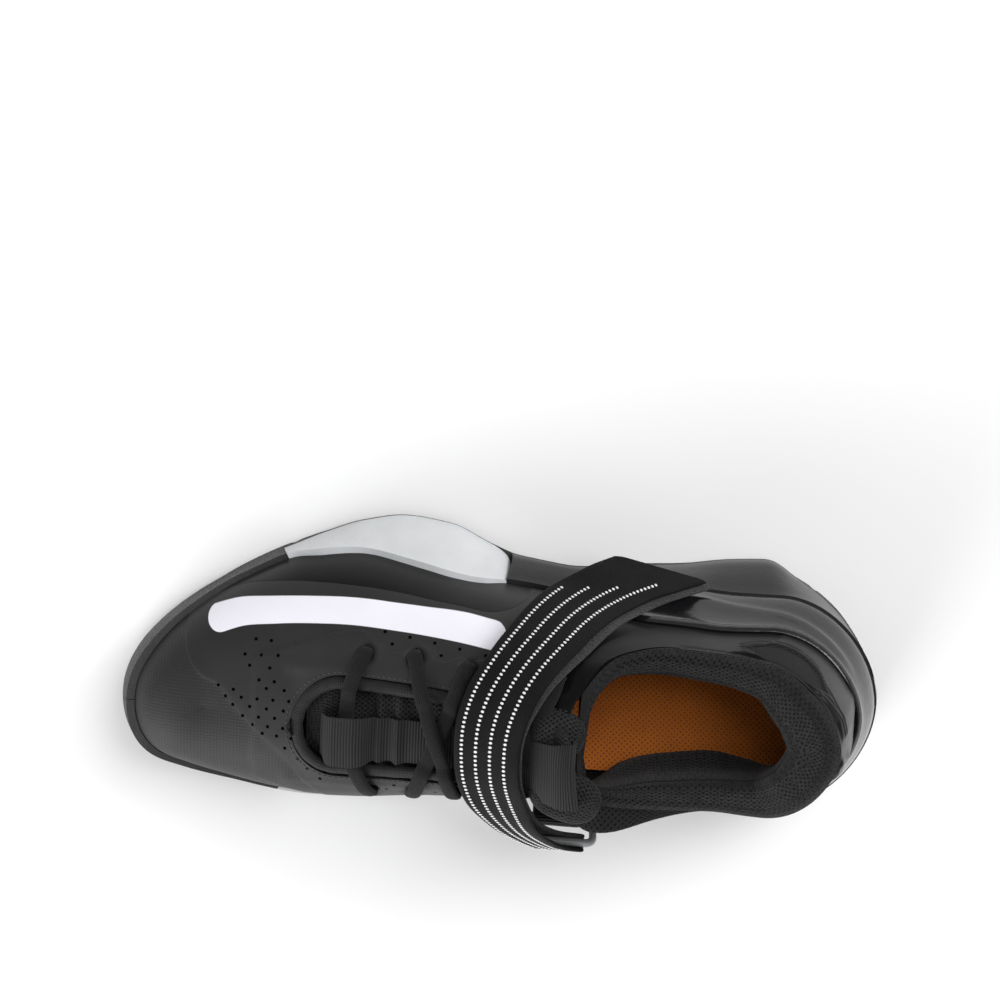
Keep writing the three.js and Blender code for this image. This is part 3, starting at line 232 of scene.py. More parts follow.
def gridObject(name, grid, closed=False, capped=False, attributes=None, mend=True):
    rows, across = grid.shape[:2]
    strips = across if closed else across - 1
    i, j = np.meshgrid(np.arange(rows - 1), np.arange(strips), indexing="ij")
    k = (j + 1) % across
    quads = np.stack([i * across + j, i * across + k, (i + 1) * across + k, (i + 1) * across + j], -1)
    faces = quads.reshape(-1, 4).tolist()
    if capped:
        faces.append(list(range(across))[::-1])
        faces.append([(rows - 1) * across + j for j in range(across)])
    mesh = bpy.data.meshes.new(name)
    mesh.from_pydata((grid.reshape(-1, 3) * mm).tolist(), [], faces)
    ring = np.concatenate([grid, grid[:, :1]], axis=1) if closed else grid
    lengths = np.linalg.norm(np.diff(grid, axis=0), axis=-1).max(axis=1)
    widths = np.linalg.norm(np.diff(ring, axis=1), axis=-1).max(axis=0)
    run = np.concatenate([[0], np.cumsum(lengths)]) * mm
    over = np.concatenate([[0], np.cumsum(widths)]) * mm
    corners = np.stack([np.stack([run[i], over[j]], -1), np.stack([run[i], over[j + 1]], -1),
                        np.stack([run[i + 1], over[j + 1]], -1), np.stack([run[i + 1], over[j]], -1)], 2)
    uv = np.zeros((len(mesh.loops), 2))
    uv[: corners.size // 2] = corners.reshape(-1, 2)
    mesh.uv_layers.new(name="run").data.foreach_set("uv", uv.ravel())
    for key, values in (attributes or {}).items():
        layer = mesh.attributes.new(key, "FLOAT", "POINT")
        layer.data.foreach_set("value", np.asarray(values, np.float32).ravel())
    piece = bpy.data.objects.new(name, mesh)
    bpy.context.scene.collection.objects.link(piece)
    if mend:
        work = bmesh.new()
        work.from_mesh(mesh)
        bmesh.ops.remove_doubles(work, verts=work.verts, dist=2e-6)
        bmesh.ops.dissolve_degenerate(work, edges=work.edges, dist=1e-7)
        bmesh.ops.recalc_face_normals(work, faces=work.faces)
        work.to_mesh(mesh)
        work.free()
    return piece


def finishPiece(piece, material, slot, *nodes, sharp=50):
    if not piece.data.materials:
        piece.data.materials.append(material)
    piece.data.shade_smooth()
    piece.data.set_sharp_from_angle(angle=math.radians(sharp))
    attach(piece, "root")
    if nodes:
        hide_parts(*nodes)
    return piece


def applyModifiers(piece):
    bpy.context.view_layer.update()
    made = bpy.data.meshes.new_from_object(piece.evaluated_get(bpy.context.evaluated_depsgraph_get()))
    piece.modifiers.clear()
    piece.data = made


def stationsOf(spots, facing, closed=False):  # the centre, across and out of each station of a path
    if closed:
        along = np.roll(spots, -1, axis=0) - np.roll(spots, 1, axis=0)
    else:
        along = np.gradient(spots, axis=0)
    along = unit(along)
    across = unit(np.cross(facing, along))
    return spots, across, np.cross(along, across)


def sweepGrid(stations, outline):  # outline: (across, out) pairs, the same or one set for each station
    centre, across, out = stations
    outline = np.asarray(outline, float)
    if outline.ndim == 2:
        outline = np.broadcast_to(outline, (len(centre), *outline.shape))
    return (centre[:, None] + across[:, None] * outline[..., :1] + out[:, None] * outline[..., 1:])


def ovalOutline(width, height, corners=16, power=2.0):  # power 2 is an ellipse, more is squarer
    angle = 2 * np.pi * np.arange(corners) / corners
    c, s = np.cos(angle), np.sin(angle)
    x = np.sign(c) * np.abs(c) ** (2 / power) * width / 2
    y = np.sign(s) * np.abs(s) ** (2 / power) * height / 2
    return np.stack([x, y], axis=-1)


def colour(text):  # sRGB hex to the linear values that the shader takes
    channels = [int(text[i:i + 2], 16) / 255 for i in (1, 3, 5)]
    return [c / 12.92 if c <= 0.04045 else ((c + 0.055) / 1.055) ** 2.4 for c in channels] + [1.0]


def add(tree, kind, settings=None, links=None):
    made = tree.nodes.new(kind)
    for key, value in (settings or {}).items():
        if isinstance(key, int) or key in made.inputs:
            made.inputs[key].default_value = value
        else:
            setattr(made, key, value)
    for key, socket in (links or {}).items():
        tree.links.new(socket, made.inputs[key])
    return made


def newMaterial(name, shaderSettings):
    material = bpy.data.materials.new(name)
    material.use_nodes = True
    tree = material.node_tree
    shader = tree.nodes["Principled BSDF"]
    for key, value in shaderSettings.items():
        shader.inputs[key].default_value = value
    return material, tree, shader


def fineRows(tree, uv, axis, spacing):  # a wave from -1 to 1 with one crest every spacing
    parts = add(tree, "ShaderNodeSeparateXYZ", links={0: uv})
    turned = add(tree, "ShaderNodeMath", {"operation": "MULTIPLY", 1: 2 * math.pi / spacing},
                 {0: parts.outputs[axis]})
    return add(tree, "ShaderNodeMath", {"operation": "SINE"}, {0: turned.outputs[0]}).outputs[0]


def dots(tree, uv, spacing, radius, wander=0.0, stretch=(1, 1)):  # 1 in each dot, 0 between them
    placed = add(tree, "ShaderNodeMapping", {"Scale": (stretch[0] / spacing, stretch[1] / spacing, 1),
                                              "Rotation": (0, 0, math.pi / 4)}, {"Vector": uv})
    cells = add(tree, "ShaderNodeTexVoronoi", {"voronoi_dimensions": "2D", "Scale": 1.0,
                                                "Randomness": wander}, {"Vector": placed.outputs[0]})
    share = radius / spacing
    return add(tree, "ShaderNodeMapRange", {"interpolation_type": "SMOOTHSTEP", 1: share * 1.25,
                                             2: share * 0.75, 3: 0.0, 4: 1.0},
               {0: cells.outputs["Distance"]}).outputs[0]


def mottle(tree, coords, grain, low, high):  # soft cloudy values, grain in metres
    noise = add(tree, "ShaderNodeTexNoise", {"Scale": 1 / grain, "Detail": 3.0, "Roughness": 0.55},
                {"Vector": coords})
    return add(tree, "ShaderNodeMapRange", {1: 0.3, 2: 0.7, 3: low, 4: high},
               {0: noise.outputs[0]}).outputs[0]


def tinted(tree, shader, first, second, share):  # base colour from first to second
    blend = add(tree, "ShaderNodeMix", {"data_type": "RGBA"}, {"Factor": share})
    for index, value in ((6, first), (7, second)):
        if isinstance(value, str):
            blend.inputs[index].default_value = colour(value)
        else:
            tree.links.new(value, blend.inputs[index])
    tree.links.new(blend.outputs[2], shader.inputs["Base Color"])
    return blend.outputs[2]


def raised(tree, shader, heights):  # heights: pairs of a height socket and its depth in metres
    normal = None
    for height, depth in heights:
        links = {"Height": height}
        if normal is not None:
            links["Normal"] = normal
        bump = add(tree, "ShaderNodeBump", {"Strength": 1.0, "Distance": depth}, links)
        normal = bump.outputs[0]
    tree.links.new(normal, shader.inputs["Normal"])
    return normal


def uvOf(tree):
    return add(tree, "ShaderNodeUVMap", {"uv_map": "run"}).outputs[0]


def objectCoords(tree):
    return add(tree, "ShaderNodeTexCoord").outputs["Object"]


def attribute(tree, name):
    return add(tree, "ShaderNodeAttribute", {"attribute_name": name}).outputs["Fac"]


def inside(tree, name, low=-0.15, high=0.15):  # 1 inside a panel's border, from its distance in mm
    return add(tree, "ShaderNodeMapRange", {"interpolation_type": "SMOOTHSTEP", 1: low, 2: high},
               {0: attribute(tree, name)}).outputs[0]


def mouldedRubber():  # synthetic rubber from a mould: dull, with a fine stipple
    material, tree, shader = newMaterial("moulded_rubber", {"Roughness": 0.62, "IOR": 1.52})
    coords = objectCoords(tree)
    tinted(tree, shader, "#1b1b1c", "#242425", mottle(tree, coords, 0.012, 0, 1))
    stipple = mottle(tree, coords, 0.0007, 0, 1)
    raised(tree, shader, [(stipple, 0.00012)])
    return material


def treadRubber():  # the same rubber with a fine lug pattern pressed in
    material, tree, shader = newMaterial("tread_rubber", {"Roughness": 0.7, "IOR": 1.52})
    coords = objectCoords(tree)
    tinted(tree, shader, "#1a1a1b", "#222223", mottle(tree, coords, 0.012, 0, 1))
    lugs = dots(tree, coords, 0.0062, 0.0024)
    raised(tree, shader, [(lugs, 0.0009), (mottle(tree, coords, 0.0008, 0, 1), 0.0001)])
    return material


def ribbedRubber():  # the toe's band, ribbed every 1.1 mm
    material, tree, shader = newMaterial("ribbed_toe_rubber", {"Roughness": 0.58, "IOR": 1.52})
    coords = objectCoords(tree)
    tinted(tree, shader, "#1c1c1d", "#262627", mottle(tree, coords, 0.01, 0, 1))
    ribs = fineRows(tree, uvOf(tree), 0, 0.0011)
    raised(tree, shader, [(ribs, 0.00018), (mottle(tree, coords, 0.0007, 0, 1), 0.00008)])
    return material


def skinnedFoam():  # EVA foam with the smooth skin that the mould gives it
    material, tree, shader = newMaterial("skinned_eva_foam", {"Roughness": 0.5, "IOR": 1.45,
                                                               "Subsurface Weight": 0.04})
    coords = objectCoords(tree)
    tinted(tree, shader, "#c7c8ca", "#d2d3d5", mottle(tree, coords, 0.02, 0, 1))
    raised(tree, shader, [(mottle(tree, coords, 0.0011, 0, 1), 0.00006)])
    return material


def satinNylon():  # injection-moulded nylon, satin from the tool's fine spark finish
    material, tree, shader = newMaterial("moulded_nylon", {"Roughness": 0.34, "IOR": 1.53,
                                                            "Specular IOR Level": 0.4,
                                                            "Coat Weight": 0.08})
    coords = objectCoords(tree)
    tinted(tree, shader, "#121214", "#18181a", mottle(tree, coords, 0.02, 0, 1))
    raised(tree, shader, [(mottle(tree, coords, 0.0009, 0, 1), 0.00005)])
    return material


def glossTpu():  # polished thermoplastic polyurethane
    material, tree, shader = newMaterial("polished_tpu", {"Roughness": 0.2, "IOR": 1.5,
                                                           "Coat Weight": 0.25, "Coat Roughness": 0.15})
    coords = objectCoords(tree)
    tinted(tree, shader, "#111113", "#19191b", mottle(tree, coords, 0.03, 0, 1))
    raised(tree, shader, [(mottle(tree, coords, 0.004, 0, 1), 0.00008)])
    return material


def coatedTextile():  # film-backed ripstop with panels of its own finish
    material, tree, shader = newMaterial("film_on_ripstop", {"IOR": 1.48, "Specular IOR Level": 0.16,
                                                              "Sheen Weight": 0.04,
                                                              "Sheen Roughness": 0.5})
    coords = objectCoords(tree)
    grid = add(tree, "ShaderNodeMath", {"operation": "MAXIMUM"},
               {0: fineRows(tree, coords, 0, 0.0013), 1: fineRows(tree, coords, 1, 0.0013)})
    cloth = add(tree, "ShaderNodeMapRange", {1: 0.3, 2: 1.0}, {0: grid.outputs[0]})
    film, mesh, band = inside(tree, "film"), inside(tree, "window"), inside(tree, "band")
    eyestay, cap = inside(tree, "eyestay"), inside(tree, "toeCap")
    vamp = tinted(tree, shader, "#292929", "#2f2f2f", mottle(tree, coords, 0.03, 0, 1))
    gloss = tinted(tree, shader, vamp, "#060606", film)
    knit = dots(tree, uvOf(tree), 0.0022, 0.0007)
    holes = add(tree, "ShaderNodeMath", {"operation": "MULTIPLY"}, {0: knit, 1: mesh})
    meshed = tinted(tree, shader, gloss, "#1c1c1e", mesh)
    # painted shade: each knit hole of the mesh windows is coloured near black for the shade inside it
    pierced = tinted(tree, shader, meshed, "#060606", holes.outputs[0])
    tinted(tree, shader, pierced, "#efedf5", band)
    softer = add(tree, "ShaderNodeMapRange", {1: 0.0, 2: 1.0, 3: 0.5, 4: 0.36}, {0: film})
    rough = add(tree, "ShaderNodeMapRange", {1: 0.0, 2: 1.0, 4: 0.85}, {0: mesh, 3: softer.outputs[0]})
    tree.links.new(rough.outputs[0], shader.inputs["Roughness"])
    bare = add(tree, "ShaderNodeMath", {"operation": "SUBTRACT", 0: 1.0}, {1: cap})
    weave = add(tree, "ShaderNodeMath", {"operation": "MULTIPLY"}, {0: cloth.outputs[0], 1: bare.outputs[0]})
    raised(tree, shader, [(weave.outputs[0], 0.00006), (eyestay, 0.0005), (cap, 0.0004), (band, 0.00012),
                          (film, 0.00022), (holes.outputs[0], -0.0004),
                          (mottle(tree, coords, 0.0006, 0, 1), 0.00003)])
    return material


def liningKnit():  # brushed knit inside the shell
    material, tree, shader = newMaterial("lining_knit", {"Roughness": 0.95, "Specular IOR Level": 0.1})
    coords = objectCoords(tree)
    tinted(tree, shader, "#101011", "#181819", mottle(tree, coords, 0.0016, 0, 1))
    raised(tree, shader, [(dots(tree, coords, 0.0017, 0.0006, 0.2), 0.0003)])
    return material


def spacerMesh(name, spacing, hole):  # warp-knitted spacer mesh: rows of small open cells, each painted near black as painted shade inside it
    material, tree, shader = newMaterial(name, {"Roughness": 0.9, "Sheen Weight": 0.06,
                                                "Specular IOR Level": 0.2, "Sheen Roughness": 0.4})
    uv = uvOf(tree)
    cells = dots(tree, uv, spacing, hole, 0.12, (1.0, 1.25))
    thread = tinted(tree, shader, "#212122", "#2d2d2e", mottle(tree, uv, 0.006, 0, 1))
    # painted shade: the sunk cells are coloured near black for the shade that falls inside them
    tinted(tree, shader, thread, "#0a0a0a", cells)
    deep = add(tree, "ShaderNodeMath", {"operation": "SUBTRACT", 0: 1.0}, {1: cells})
    raised(tree, shader, [(deep.outputs[0], 0.0006), (fineRows(tree, uv, 1, spacing), 0.0001)])
    return material


def wovenBinding():  # padded lip of soft coated cloth
    material, tree, shader = newMaterial("padded_binding_cloth", {"Roughness": 0.7, "Sheen Weight": 0.04,
                                                                  "Specular IOR Level": 0.25})
    uv = uvOf(tree)
    tinted(tree, shader, "#171718", "#1f1f20", mottle(tree, uv, 0.004, 0, 1))
    across, along = fineRows(tree, uv, 0, 0.0011), fineRows(tree, uv, 1, 0.0011)
    raised(tree, shader, [(across, 0.00005), (along, 0.00003)])
    return material


def braidedPolyester():  # flat braided lace: crossing strands give a slanting check, with a painted highlight on each strand's crest and painted shade between them
    material, tree, shader = newMaterial("braided_polyester", {"Roughness": 0.85, "Sheen Weight": 0.04,
                                                               "Specular IOR Level": 0.2})
    turned = add(tree, "ShaderNodeMapping", {"Rotation": (0, 0, math.pi / 4)}, {"Vector": uvOf(tree)})
    one = fineRows(tree, turned.outputs[0], 0, 0.0011)
    other = fineRows(tree, turned.outputs[0], 1, 0.0011)
    check = add(tree, "ShaderNodeMath", {"operation": "MULTIPLY"}, {0: one, 1: other})
    crestHighlight = add(tree, "ShaderNodeMapRange", {1: -1.0, 2: 1.0}, {0: check.outputs[0]})
    # painted highlight and shade: the base colour goes lighter on the raised crests and darker in the
    # hollows
    tinted(tree, shader, "#101011", "#1e1e1f", crestHighlight.outputs[0])
    raised(tree, shader, [(crestHighlight.outputs[0], 0.00025)])
    return material


def grosgrain():  # ribbed ribbon, a rib every 1.2 mm across its run, with a painted highlight on the rib tops and painted shade in the furrows
    material, tree, shader = newMaterial("ribbed_webbing", {"Roughness": 0.8, "Sheen Weight": 0.04,
                                                            "Specular IOR Level": 0.2})
    uv = uvOf(tree)
    ribs = add(tree, "ShaderNodeMapRange", {1: -1.0, 2: 1.0}, {0: fineRows(tree, uv, 0, 0.0012)})
    # painted highlight and shade: the base colour follows the ribs, lighter on their tops and darker between
    # them
    tinted(tree, shader, "#19191a", "#2e2e2f", ribs.outputs[0])
    raised(tree, shader, [(ribs.outputs[0], 0.00035)])
    return material


def strapCloth():  # dense woven strap with a thin matt coating
    material, tree, shader = newMaterial("coated_strap_cloth", {"Roughness": 0.62,
                                                                 "Specular IOR Level": 0.14,
                                                                 "IOR": 1.48})
    uv = uvOf(tree)
    tinted(tree, shader, "#0b0b0c", "#111112", mottle(tree, uv, 0.01, 0, 1))
    weave = add(tree, "ShaderNodeMath", {"operation": "MULTIPLY"},
                {0: fineRows(tree, uv, 0, 0.0009), 1: fineRows(tree, uv, 1, 0.0009)})
    raised(tree, shader, [(weave.outputs[0], 0.00007), (mottle(tree, uv, 0.0006, 0, 1), 0.00004)])
    return material


def loopPile():  # the soft side of the fastener: a mat of fine loops
    material, tree, shader = newMaterial("loop_pile", {"Roughness": 1.0, "Sheen Weight": 0.12,
                                                        "Sheen Roughness": 0.7})
    coords = objectCoords(tree)
    tinted(tree, shader, "#0c0c0d", "#222223", mottle(tree, coords, 0.0011, 0, 1))
    raised(tree, shader, [(mottle(tree, coords, 0.0008, 0, 1), 0.0009)])
    return material


def dottedInsole():  # brushed knit on foam, orange, with fine dotted pits, each painted a darker orange as painted shade
    material, tree, shader = newMaterial("insole_knit", {"Roughness": 0.9, "Sheen Weight": 0.15})
    coords = objectCoords(tree)
    pits = dots(tree, coords, 0.0016, 0.00036)
    ground = tinted(tree, shader, "#d2731e", "#c26618", mottle(tree, coords, 0.02, 0, 1))
    # painted shade: the pressed-in pits are coloured darker than the knit around them
    tinted(tree, shader, ground, "#8e4c16", pits)
    raised(tree, shader, [(pits, -0.0003), (mottle(tree, coords, 0.0012, 0, 1), 0.0001)])
    return material


def plainPlastic():  # moulded acetal, light grey
    material, tree, shader = newMaterial("moulded_acetal", {"Roughness": 0.35, "IOR": 1.48})
    tinted(tree, shader, "#8f9092", "#a0a1a3", mottle(tree, objectCoords(tree), 0.004, 0, 1))
    return material


def thread(name, tone, lighter):  # twisted polyester sewing thread
    material, tree, shader = newMaterial(name, {"Roughness": 0.6, "Sheen Weight": 0.2})
    tinted(tree, shader, tone, lighter, mottle(tree, objectCoords(tree), 0.0009, 0, 1))
    return material


def paintedHoleShade():  # a flat near-black disc, painted shade standing for the inside of a punched hole
    material, tree, shader = newMaterial("punched_hole_shade", {"Roughness": 1.0, "Specular IOR Level": 0.0})
    tinted(tree, shader, "#030303", "#060606", mottle(tree, objectCoords(tree), 0.001, 0, 1))
    return material


paint = {
    "rubber": mouldedRubber(), "tread": treadRubber(), "toeBand": ribbedRubber(),
    "foam": skinnedFoam(), "nylon": satinNylon(), "tpu": glossTpu(), "shell": coatedTextile(),
    "lining": liningKnit(), "collar": spacerMesh("collar_spacer_mesh", 0.0022, 0.0006),
    "tongue": spacerMesh("tongue_spacer_mesh", 0.0018, 0.00055), "binding": wovenBinding(),
    "lace": braidedPolyester(), "webbing": grosgrain(), "strap": strapCloth(), "pile": loopPile(),
    "insole": dottedInsole(), "loop": plainPlastic(), "hole": paintedHoleShade(),
    "whiteThread": thread("white_thread", "#d8d8da", "#efeff0"),
    "blackThread": thread("black_thread", "#1b1b1c", "#29292a"),
}
print("materials made")

photo = {"elevation": 75, "roll": 182.8, "distance": 1500, "anchor": (103, 0, 30),
         "anchorPixel": (500, 688), "focal": 3830, "width": 1000}


def placeCamera():
    tilt, roll = math.radians(photo["elevation"]), math.radians(photo["roll"])
    back = Vector((0, -math.cos(tilt), math.sin(tilt)))
    right = Vector((1, 0, 0))
    up = back.cross(right)
    cosine, sine = math.cos(roll), math.sin(roll)
    right, up = right * cosine + up * sine, up * cosine - right * sine
    px, py = photo["anchorPixel"]
    half = photo["width"] / 2
    aim = Vector(((px - half) / photo["focal"], -(py - half) / photo["focal"], -1))
    turned = Vector((0, 0, -1)).rotation_difference(aim).to_matrix() @ Matrix((right, up, back))
    data = bpy.data.cameras.new("photo_camera")
    data.sensor_width = 36
    data.lens = data.sensor_width * photo["focal"] / photo["width"]
    data.clip_end = 20
    camera = bpy.data.objects.new("photo_camera", data)
    camera.matrix_world = Matrix.Translation(
        (Vector(photo["anchor"]) + back * photo["distance"]) * mm) @ turned.transposed().to_4x4()
    bpy.context.scene.collection.objects.link(camera)
    bpy.context.scene.camera = camera
    bpy.context.scene.view_settings.view_transform = "Standard"  # a plain catalogue print


placeCamera()

# lights: the name, where it stands, how wide it is and its power in watts
studio = {"world": 0.3, "floor": "#f6f6f6",
          "lights": [("overhead", (-0.45, -0.85, 1.45), 1.1, 17), ("innerSide", (1.0, 1.0, 0.5), 1.2, 27),
                     ("heelSide", (-0.9, -0.7, 0.8), 0.6, 7)]}


def lightStudio():
    world = bpy.data.worlds.new("studio")
    world.use_nodes = True
    world.node_tree.nodes["Background"].inputs["Color"].default_value = colour("#ffffff")
    world.node_tree.nodes["Background"].inputs["Strength"].default_value = studio["world"]
    bpy.context.scene.world = world
    for name, place, width, power in studio["lights"]:
        data = bpy.data.lights.new(name, "AREA")
        data.size = width
        data.energy = power
        lamp = bpy.data.objects.new(name, data)
        lamp.location = place
        aim = Vector(photo["anchor"]) * mm - Vector(place)
        lamp.rotation_euler = aim.to_track_quat("-Z", "Y").to_euler()
        bpy.context.scene.collection.objects.link(lamp)


def layFloor():
    reach = 3000
    grid = np.array([[[x, y, 0.0] for y in (-reach, reach)] for x in (-reach, reach)])
    floor = gridObject("floor", grid, mend=False)
    material, tree, shader = newMaterial("pale_floor", {"Roughness": 0.8})
    tinted(tree, shader, studio["floor"], "#f8f8f8", mottle(tree, objectCoords(tree), 0.5, 0, 1))
    floor.data.materials.append(material)


lightStudio()
layFloor()
print("studio ready")

# back, front: where the foam meets the heel block and the toe rubber, along the sole
soleForm = {"stations": 220, "sideSteps": 12, "bottomSteps": 14, "back": 0.501, "front": 0.803,
            "lean": 10, "grooves": [0.09, 0.23, 0.6, 0.66, 0.72, 0.78], "grooveWidth": 3,
            "grooveDepth": 2}
clipForm = {"end": 0.36, "flare": 9, "inset": 0.5, "wall": 2.2, "height": 56,
            "at": [0, 0.08, 0.2, 0.29, 0.36], "lip": [1, 0.95, 1, 0.98, 0.86]}


def rimStandOff(at):
    reach = smoothStep(at, clipForm["end"] - 0.06, clipForm["end"] + 0.06)
    return mix(clipForm["flare"] + size["gap"], size["gap"] + 1.8, reach)


def rimHeight(side, at):
    share = sole["rimLateral"](at) if side < 0 else sole["rimMedial"](at)
    return featherHeight(at) + size["forefootHeight"] * share


def treadTop(at):
    return size["tread"] + size["archLift"] * sole["arch"](at) + size["soleToeSpring"] * sole["toe"](at)


def soleBottom(at):
    return size["archLift"] * sole["arch"](at) + size["soleToeSpring"] * sole["toe"](at)


def solePoint(side, at, height):  # height: of the way from the tread to the rim's top
    width = mix(size["soleHeelWidth"], size["soleBallWidth"], smoothStep(at, 0.25, 0.55))
    share = sole["lateral"](at) if side < 0 else sole["medial"](at)
    half = share * width / 2 * roundOff(at, soleEnds)
    edgeX = soleBack + at * size["soleLength"]
    edgeY = sole["axis"](at) * size["soleBallWidth"] + side * half
    rim = meridian(side, at, rimStandOff(at))
    inset = soleInset(height)
    return np.stack([mix(edgeX, rim["footX"], inset), mix(edgeY, rim["footY"], inset),
                     mix(soleBottom(at), rimHeight(side, at), height)], axis=-1)


def leaning(at, z, share):  # the partings lean back as they rise
    return at - soleForm["lean"] * (z + 20) / (size["instepHeight"] + 20) * share / size["soleLength"]


def soleLoft(name, places, leans, low, high, full, pull=None):
    # each station's section: up the outer wall, over the rim, down the inner wall and across
    count = soleForm["sideSteps"]
    pull = np.zeros(len(places)) if pull is None else pull
    sections = []
    for at, lean, whole, inward in zip(places, leans, full, pull):
        halves = []
        for side in (lateral, medial):
            span = rimHeight(side, at) - soleBottom(at)
            first, final = low(at, span), (1.0 if whole else high(at, span))
            shares = np.linspace(first, final, count)
            ats = np.clip(leaning(at, soleBottom(at) + shares * span, lean), 1e-6, 1 - 1e-6)
            wall = solePoint(side, ats, shares)
            wall[:, 1] -= side * inward * np.sin(np.pi * np.clip(shares, 0, 0.98)) ** 0.5
            crest = sidePoint(side, np.array([ats[-1]]), wall[-1, 2], size["gap"])[0]
            upper = meridian(side, ats[-1:], size["gap"])
            foot = np.array([upper["footX"][0], upper["footY"][0], upper["low"][0] - size["gap"]])
            if not whole:
                foot = mix(wall[-1], np.array([wall[-1, 0], crest[1], wall[-1, 2]]), 0.6)
                crest = mix(wall[-1], foot, 0.3)
            halves.append(np.vstack([wall, crest[None], mix(crest, foot, 0.5)[None], foot[None]]))
        outer, inner = halves
        between = np.linspace(outer[0], inner[0], soleForm["bottomSteps"])[1:-1]
        across = np.linspace(outer[-1], inner[-1], 6)[1:-1]
        sections.append(np.vstack([outer[::-1], between, inner, across[::-1]]))
    return gridObject(name, np.array(sections), closed=True, capped=True)


def treadShare(at, span):
    return (treadTop(at) - soleBottom(at)) / span


def overTread(at, span):
    return treadShare(at, span) + size["gap"] / span


def makeOutsole():
    grooves = [at * size["soleLength"] + soleBack for at in soleForm["grooves"]]
    parting = soleForm["front"]
    places = [*cosineSteps(soleForm["stations"]), parting - 1e-4, parting + 1e-4]
    for groove in soleForm["grooves"]:
        places += list(groove + np.array([-1.6, -1.2, -0.7, 0.7, 1.2, 1.6]) / size["soleLength"])
    places = np.clip(np.array(sorted(places)), 1e-6, 1 - 1e-6)
    leans = np.clip((places - 0.6) / 0.2, 0, 1) * np.clip((1 - places) / (1 - parting), 0, 1)
    piece = soleLoft("rubber_outsole", places, leans, lambda at, span: 0.0, treadShare, places > parting)
    half, depth = soleForm["grooveWidth"] / 2, soleForm["grooveDepth"]
    for vertex in piece.data.vertices:
        x, z = vertex.co.x / mm, vertex.co.z / mm
        cut = max(1 - max(0.0, abs(x - g) - half * 0.5) / (half * 0.5) for g in grooves)
        at = (x - soleBack) / size["soleLength"]
        if cut > 0 and z < soleBottom(at) + 2:
            vertex.co.z += cut * depth * mm
    for name in ("rubber", "tread", "toeBand"):
        piece.data.materials.append(paint[name])
    front = soleBack + parting * size["soleLength"]
    for face in piece.data.polygons:
        if face.normal.z < -0.7:
            face.material_index = 1
        elif face.center.x / mm > front and abs(face.normal.z) < 0.75:
            face.material_index = 2
    return finishPiece(piece, None, "black_rubber", "outsole")


def roundedEnd(away, reach, depth):  # how far an end draws in, from the distance to it
    share = np.clip(1 - away / reach, 0, 1)
    return depth * (1 - np.sqrt(1 - share**2))


def makeFoam():
    gap = size["gap"] / size["soleLength"]
    places = np.linspace(soleForm["back"] + gap, soleForm["front"] - gap, 110)
    behind = (places - places[0]) * size["soleLength"]
    pull = roundedEnd(behind, 9, 5)
    piece = soleLoft("foam_midsole", places, np.ones(110), overTread, None, np.ones(110, bool), pull)
    return finishPiece(piece, paint["foam"], "grey_foam", "midsole")


def makeHeelBlock():
    places = (1 - np.cos(np.linspace(0, 0.62 * math.pi, 120)))
    places = np.clip(places / places[-1] * soleForm["back"], 1e-6, 1)
    leans = np.clip(places / soleForm["back"], 0, 1) ** 3
    piece = soleLoft("moulded_heel_block", places, leans, overTread, None, np.ones(120, bool))
    return finishPiece(piece, paint["nylon"], "hard_heel", "heel_block")


makeOutsole()
makeFoam()
makeHeelBlock()
print("sole made")

clipLip = column(clipForm, "lip")


def roundHeel(reach, steps):  # places from the lateral side round the heel to the medial side
    places = cosineSteps(2 * steps)[: steps + 1] * 2 * reach
    sides = np.concatenate([np.full(steps, lateral), np.full(steps + 1, medial)])
    return sides, np.concatenate([places[1:][::-1], places])


def makeClip():
    sides, places = roundHeel(clipForm["end"], 110)
    wall = size["gap"] + clipForm["wall"]
    sections = []
    for side, at in zip(sides, places):
        low = rimHeight(side, at) + size["gap"]
        high = clipForm["height"] * clipLip(at)
        foot = max(min(clipForm["flare"], rimStandOff(at)) - clipForm["inset"], wall)
        down = np.linspace(0, 1, 22)
        curve = mix(wall, foot, smoothStep(down, 0.12, 1.0) ** 0.9)
        ridge = mix(0.3, 0.72, smoothStep(at, 0.02, 0.3))  # a moulded facet climbs to the back
        curve = curve + 0.9 * np.exp(-(((down - ridge) / 0.1) ** 2)) * smoothStep(at, 0.0, 0.05)
        lip = 0.5 * np.exp(-(((down - 0.03) / 0.05) ** 2))
        outer = [(o + l, mix(high - 0.6, low, d)) for o, l, d in zip(curve, lip, down)]
        spots = [(size["gap"], low), (size["gap"], mix(low, high, 0.5)), (size["gap"], high),
                 (mix(size["gap"], wall, 0.5), high + 0.5)] + outer
        out, height = np.array(spots).T
        sections.append(np.array([sidePoint(side, at, h, o) for o, h in zip(out, height)]))
    piece = gridObject("heel_clip_moulding", np.array(sections), closed=True, capped=True)
    return finishPiece(piece, paint["tpu"], "clip_plastic", "heel_clip")


makeClip()
print("clip made")

